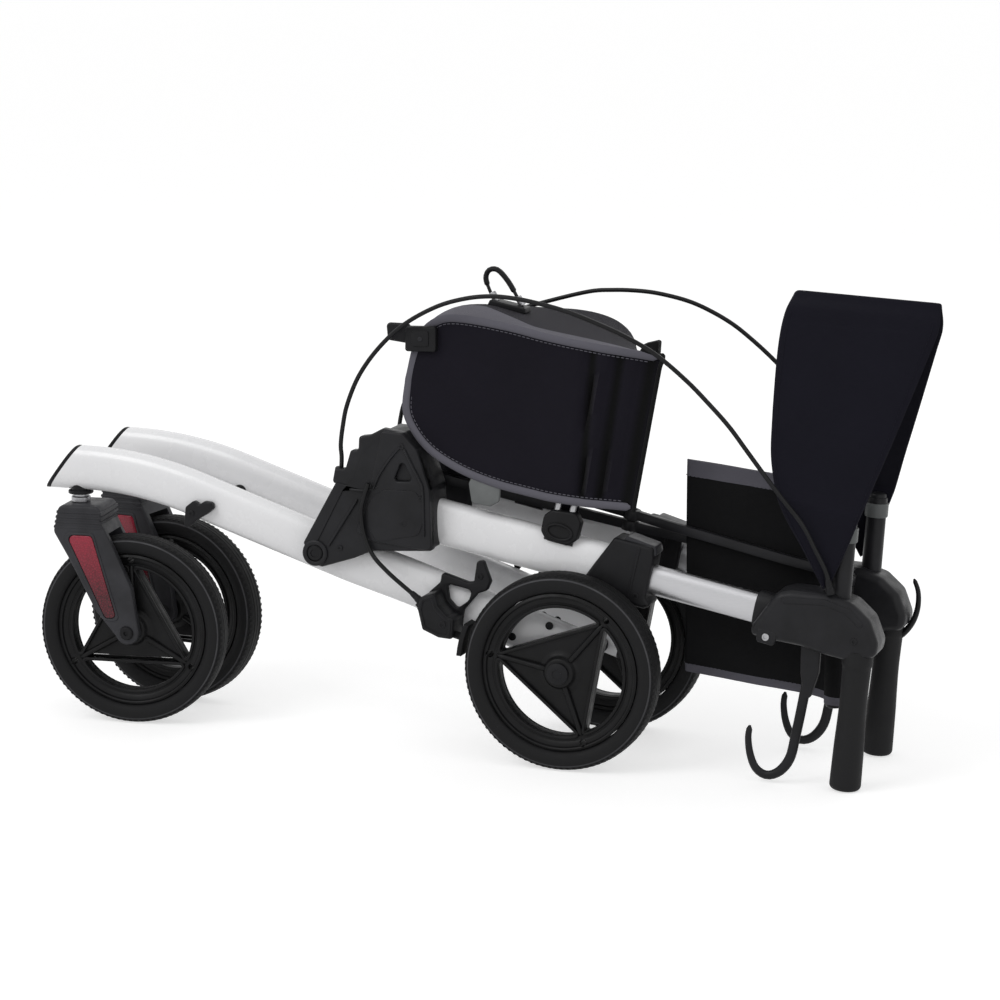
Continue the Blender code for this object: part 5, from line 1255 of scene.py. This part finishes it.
def bagGusset(edge, farEdge):
    # the strip round the bag from panel to panel, grey along its near border
    across, border, along = bagLook["across"], bagLook["border"], bagLook["along"]
    wide, narrow = bagLook["strip"]
    grid, places, gone = [], [], 1.0
    for k, (spot, away) in enumerate(zip(edge, farEdge)):
        ahead = (edge[min(k + 1, len(edge) - 1)] - edge[max(k - 1, 0)]).normalized()
        out = Vector((ahead.y, 0, -ahead.x))
        if Vector((ahead.y, -ahead.x)).dot(spot - Vector(bagLook["middle"])) < 0:
            out = -out
        gone += (spot - edge[k - 1]).length * milli if k else 0
        first, last = Vector((spot.x, nearSide(*spot), spot.y)), Vector((away.x, bagLook["far"], away.y))
        t = min(1, max(0, (spot.x - 105) / 65 if k > along else (spot.x - edge[along].x) / 30))
        grey = (wide + (narrow - wide) * t) / (last.y - first.y)
        full = min(1, max(0, (spot.y - 150) / 50)) * min(1, max(0, (175 - spot.x) / 60))
        line = []
        for m in range(across + 1):
            share = grey * m / border if m <= border else grey + (1 - grey) * (m - border) / (across - border)
            swell = bagLook["swell"] * full * max(0, 1 - share) ** 0.6
            swell -= bagLook["dip"] * (1 - full) * (spot.y > 200)
            line.append(first.lerp(last, share) + out * swell * math.sin(math.pi * share))
        grid.append(line)
        places.append([(gone, p.y * milli) for p in line])
    return grid, places, lambda k, m: int(m < border)


def bagShell(edge, farEdge, shares, chains):
    mesh = clothMesh(bagPanel(shares, chains["lower"], chains["upper"], True),
                     bagPanel(shares, chains["farLower"], chains["farUpper"], False), bagGusset(edge, farEdge))
    middle = Vector((bagLook["middle"][0], -10, bagLook["middle"][1])) * milli
    if sum(p.normal.dot(p.center - middle) * p.area for p in mesh.polygons) < 0:
        mesh.flip_normals()
    outside = len(mesh.polygons)
    mesh = changed(mesh, "SOLIDIFY", thickness=bagLook["wall"] * milli, offset=-1)
    for face in mesh.polygons[outside:]:
        face.material_index = 2
    return mesh


def bagTrim(edge):
    # tape and stitches round the near panel, a folded corner and the mouth's hem
    flat = [tuple(p) for p in edge]
    tape, seam = ([Vector((x, nearSide(x, z) - out, z)) for x, z in inset(flat, deep)]
                  for deep, out in ((3.0, 0.9), (8.6, 1.6)))
    mouth = []
    for low, high, near in (((310.4, 123), (307.4, 281), True), ((252.4, 236), (257.4, 117), False)):
        for p in (Vector(low).lerp(Vector(high), k / 12) for k in range(13)):
            mouth.append((p.x, nearSide(*p) if near else bagLook["far"], p.y))
    hem = smoothLine(mouth + mouth[:1], 4)[:-1]
    fold = moulding([(284, 278), (288, 288), (302, 295), (304, 279)], 2.5, -65.5, -52, 2)
    return joined([roundBar(tape, bagLook["tape"], 14, 1.9, side=(0, 1, 0)), painted(fold, 1),
                   painted(sweep(hem, ring(bagLook["hem"], 12), closed=True), 1),
                   stitched(seam[2:-2], "pipingCloth", *bagLook["stitch"], 0)])


def loopMesh():
    line = track([(112, 278), (104, 288), (97, 300), (99, 309), (108, 311), (121, 302), (134, 288),
                  (142, 279)], 0, 3)
    foot = moulding([(106, 275), (148, 275), (146, 281.6), (108, 281.6)], 2, -9.5, 9.5, 1.4)
    rivets = [moved(lathe([(0, -5), (3.3, -5), (3.6, -4), (3.6, 4), (3.3, 5), (0, 5)], 24, "Z"),
                    at(u, 0, n) @ turn(lean, "Y")) for u, n, lean in ((109.5, 284, -40), (137, 286, -42))]
    return joined([roundBar(line, 2.6, 18, 0.62, side=(0, 1, 0)),
                   roundBar(line[6:-6], 3.4, 18, 0.8, side=(0, 1, 0)), foot]
                  + [painted(rivet, 1) for rivet in rivets])


def buckleMesh():
    # a clip over the column's top, two steel posts and a ring, drawn from one end of the clip
    section = ovalSection(52.4, 32.4)[4:21] + ovalSection(46.4, 26.4)[20:3:-1]
    band = sweep([(u, *columnLook["axis"]) for u in (0, 0.6, 10, 20, 29.4, 30)], section, side=(0, 1, 0),
                 sizes=[0.985, 1, 1, 1, 1, 0.985])
    block = moulding([(3, 72), (27, 72), (34, 80), (35, 98), (28, 107), (3, 104), (-4, 96), (-4, 80)],
                     6, 56, 69.2, 2.6, 4)
    webbing = moulding(box(6, 98, 26, 117), 1, 51.5, 53.5, 0.8)
    posts = [moved(lathe([(0, 98), (3.4, 98), (3.4, 114.8), (2.6, 116), (0, 116.2)], 20, "Z"), at(u, 62.5, 0))
             for u in (7.5, 23)]
    loop = [(15.5 + x, 69.4, 84 + z) for x, z in ring(13, 48, 7.5 / 13)]
    return joined([weld(band), block, sweep(loop, ring(1.7, 12), closed=True), painted(webbing, 1)]
                  + [painted(post, 2) for post in posts])


def cornerClipMesh():
    # the box-shaped fitting on the bag's front corner and its tongue
    body = moulding([(49, 249), (80, 256), (85, 231), (53, 224)], 3, 70.5, 79.5, 2.2, 4)
    lid = moulding([(56, 246), (74, 250), (77, 235), (60, 231)], 2, 79, 80.8, 0.8)
    tongue = moulding([(27, 247), (52, 252), (56, 232), (32, 230)], 4, 70.7, 75.7, 2)
    return joined([body, lid, tongue, painted(screwHead((67, 80.9, 240.5), (0, 1, 0), 2.2, 0.8), 1)])


shares = [(i / bagLook["along"]) ** 1.25 for i in range(bagLook["along"] + 1)]
chains = {}
for name in ("lower", "upper", "farLower", "farUpper"):
    line = smoothLine(bagLook[name], 2)
    chains[name] = [shareOf(line, share) for share in shares]
bagEdge = chains["lower"][::-1] + chains["upper"][1:]
farEdge = chains["farLower"][::-1] + chains["farUpper"][1:]
spot = inColumn(190, 0, 195)
bagBlend = ("left_column", "right_column", *(Vector((spot.x, y, spot.z)) * milli for y in (-68, 63)))
bagTab = moulding([(143, 116), (141, 108), (148, 89), (168, 91), (176, 98), (174, 116)], 4, 66.5, 70.8, 1.6)
addPiece("bagShell", moved(bagShell(bagEdge, farEdge, shares, chains), columnTurn),
         ["bagCloth", "pipingCloth", "liningCloth"], bagBlend, ["bag"], 60)
addPiece("bagTrim", moved(bagTrim(bagEdge), columnTurn), ["pipingCloth", "seatCloth"], bagBlend,
         sharp=60)
addPiece("bagLoop", moved(loopMesh(), columnTurn), ["blackPlastic", "zincSteel"], "left_column")
for side, start in (("left", 227), ("right", 160)):
    addPiece(side + "BagBuckle", forSide(buckleMesh(), columnTurn @ at(start, 0, 0), side),
             ["blackPlastic", "bagCloth", "zincSteel"], side + "_column")
addPiece("bagCornerClip", forSide(cornerClipMesh(), columnTurn, "left"), ["blackPlastic", "clipPlastic"],
         "left_column")
addPiece("bagTab", forSide(bagTab, columnTurn, "left"), "palePlastic", "left_column")
print("bag done")

# Cross brace and the brake cables

for letter in "ab":
    bar = softened(nodeCopy("brace_bar_" + letter), 0.6)
    addPiece("braceBar" + letter.upper(), bar, "greyPlastic", "brace_" + letter)

housingEnd = [(6.5, 116, 84.8), (8.3, 104, 81.2), (9, 92.3, 78)]
cableLook = {  # routes are u, n and distance from the middle, in the column's frame, from the handle down
    "radius": 2.25,
    "left": [(523, 100, 82), (515, 119, 84), (501, 138, 86), (483, 160, 88), (458, 180, 88), (434, 200, 88),
             (413, 218, 88), (393, 235, 88), (370, 251, 88), (343, 268, 88), (309, 285, 88), (276, 295, 88),
             (244, 301, 88), (213, 305, 88), (185, 306, 88), (158, 305, 88), (132, 301, 88), (106, 292, 88),
             (79, 277, 88), (50, 252, 87.5), (28, 222, 87), (13, 190, 86.5), (6, 158, 86), (5.5, 134, 85.8),
             *housingEnd],
    "right": [(523, 100, 82), (509, 140, 86), (487, 184, 88), (455, 222, 88), (422, 249, 88), (386, 272, 88),
              (360, 287, 87), (335, 299, 86), (308, 307, 86), (283, 311, 86), (252, 311, 86), (228, 308, 86),
              (205, 303, 86), (182, 296, 86), (145, 278, 86), (105, 256, 86), (70, 231, 86), (38, 200, 86),
              (17, 165, 86), (7.5, 134, 85.8), *housingEnd],
    "lower": [(-203, 277, 89.5), (-208, 262, 89.5), (-211, 247, 89.5), (-208, 225, 89.5), (-199, 204, 89),
              (-184, 188, 88), (-169, 175, 86), (-157, 165, 84), (-149.3, 158, 83)],  # measured x and z
}


def addCable(name, line, body):
    mesh = sweep(line, ring(cableLook["radius"], 12))
    cable = addPiece(name, mesh, "cableSheath", body)
    length = sum((b - a).length for a, b in zip(line, line[1:])) * milli
    line[0] * milli
    [p * milli for p in line]


def addSleeve(name, line, body):
    # strain relief over a cable's end
    profile = [(2.3, -1), (4.2, -1), (4.2, 3), (3.9, 3.6), (3.9, 6), (3.4, 6.6), (3.2, 10), (2.7, 13.5),
               (2.3, 14), (2.3, -1)]
    sleeve = moved(weld(lathe(profile, 24, "Z")), at(*line[0]) @ facing(line[1] - line[0]))
    addPiece(name, sleeve, "blackPlastic", body)


for side, sign in sides.items():
    base, column, post = (side + body for body in ("_base", "_column", "_post"))
    line = smoothLine([inColumn(u, sign * y, n) for u, n, y in cableLook[side]], 4)
    addCable(side + "UpperCable", line, (column, post, *(inColumn(u, 0, 250) * milli for u in (300, 500))))
    addSleeve(side + "CableSleeve", line, post)
    line = smoothLine([(x + layout["shift"], sign * y, z) for x, z, y in cableLook["lower"]], 3)
    addCable(side + "LowerCable", line, (base, column, line[-1] * milli, line[0] * milli))
    addSleeve(side + "LowerCableSleeve", line[::-1], base)
print("cables done")

# Studio

studio = {
    "floor": (0.62, 0.62, 0.62), "glow": 0.6, "world": 0.6, "floorHalf": 60,
    "lamps": {  # place, aim, size and power
        "keyLight": ((-1.6, -2.4, 2.6), (0, 0, 0.2), 1.8, 36),
        "fillLight": ((2.6, -1.8, 1.4), (0, 0, 0.25), 2.2, 9),
        "backLight": ((0.6, 2.6, 2.2), (0, 0, 0.2), 1.6, 9),
    },
}
for name, (place, aim, size, power) in studio["lamps"].items():
    lamp = bpy.data.lights.new(name, "AREA")
    lamp.energy, lamp.size = power, size
    item = bpy.data.objects.new(name, lamp)
    item.location = place
    item.rotation_euler = (Vector(aim) - Vector(place)).to_track_quat("-Z", "Y").to_euler()
    scene.collection.objects.link(item)


def seenRay(finish):
    # 1 for the rays that see the white background itself, 0 for those that only light the object
    eye, shine, glass = (finish.add("ShaderNodeLightPath", output="Is " + kind + " Ray")
                         for kind in ("Camera", "Glossy", "Transmission"))
    return eye.maths("MAXIMUM", eye.maths("MAXIMUM", eye, shine), glass)


white = (1, 1, 1)
scene.world = bpy.data.worlds.new("studio")
sky = Finish("studio", scene.world)
dim = sky.add("ShaderNodeBackground", None, {"Color": white, "Strength": studio["world"]})
bright = sky.add("ShaderNodeBackground", None, {"Color": white})
mixed = sky.add("ShaderNodeMixShader", None, {0: seenRay(sky), 1: dim, 2: bright})
sky.feed(sky.tree.nodes["World Output"].inputs["Surface"], mixed)

paper = Finish("floorPaper")
paper.give({"Base Color": studio["floor"], "Roughness": 0.9, "Specular IOR Level": 0.1,
            "Emission Color": paper.blendColour(seenRay(paper), (0, 0, 0), white),
            "Emission Strength": studio["glow"]})
half = studio["floorHalf"]
floorMesh = bpy.data.meshes.new("floor")
floorMesh.from_pydata([(x, z, 0) for x, z in box(-half, -half, half, half)], [], [(0, 1, 2, 3)])
floorMesh.materials.append(paper.owner)
floor = bpy.data.objects.new("floor", floorMesh)
scene.collection.objects.link(floor)
print("studio done")
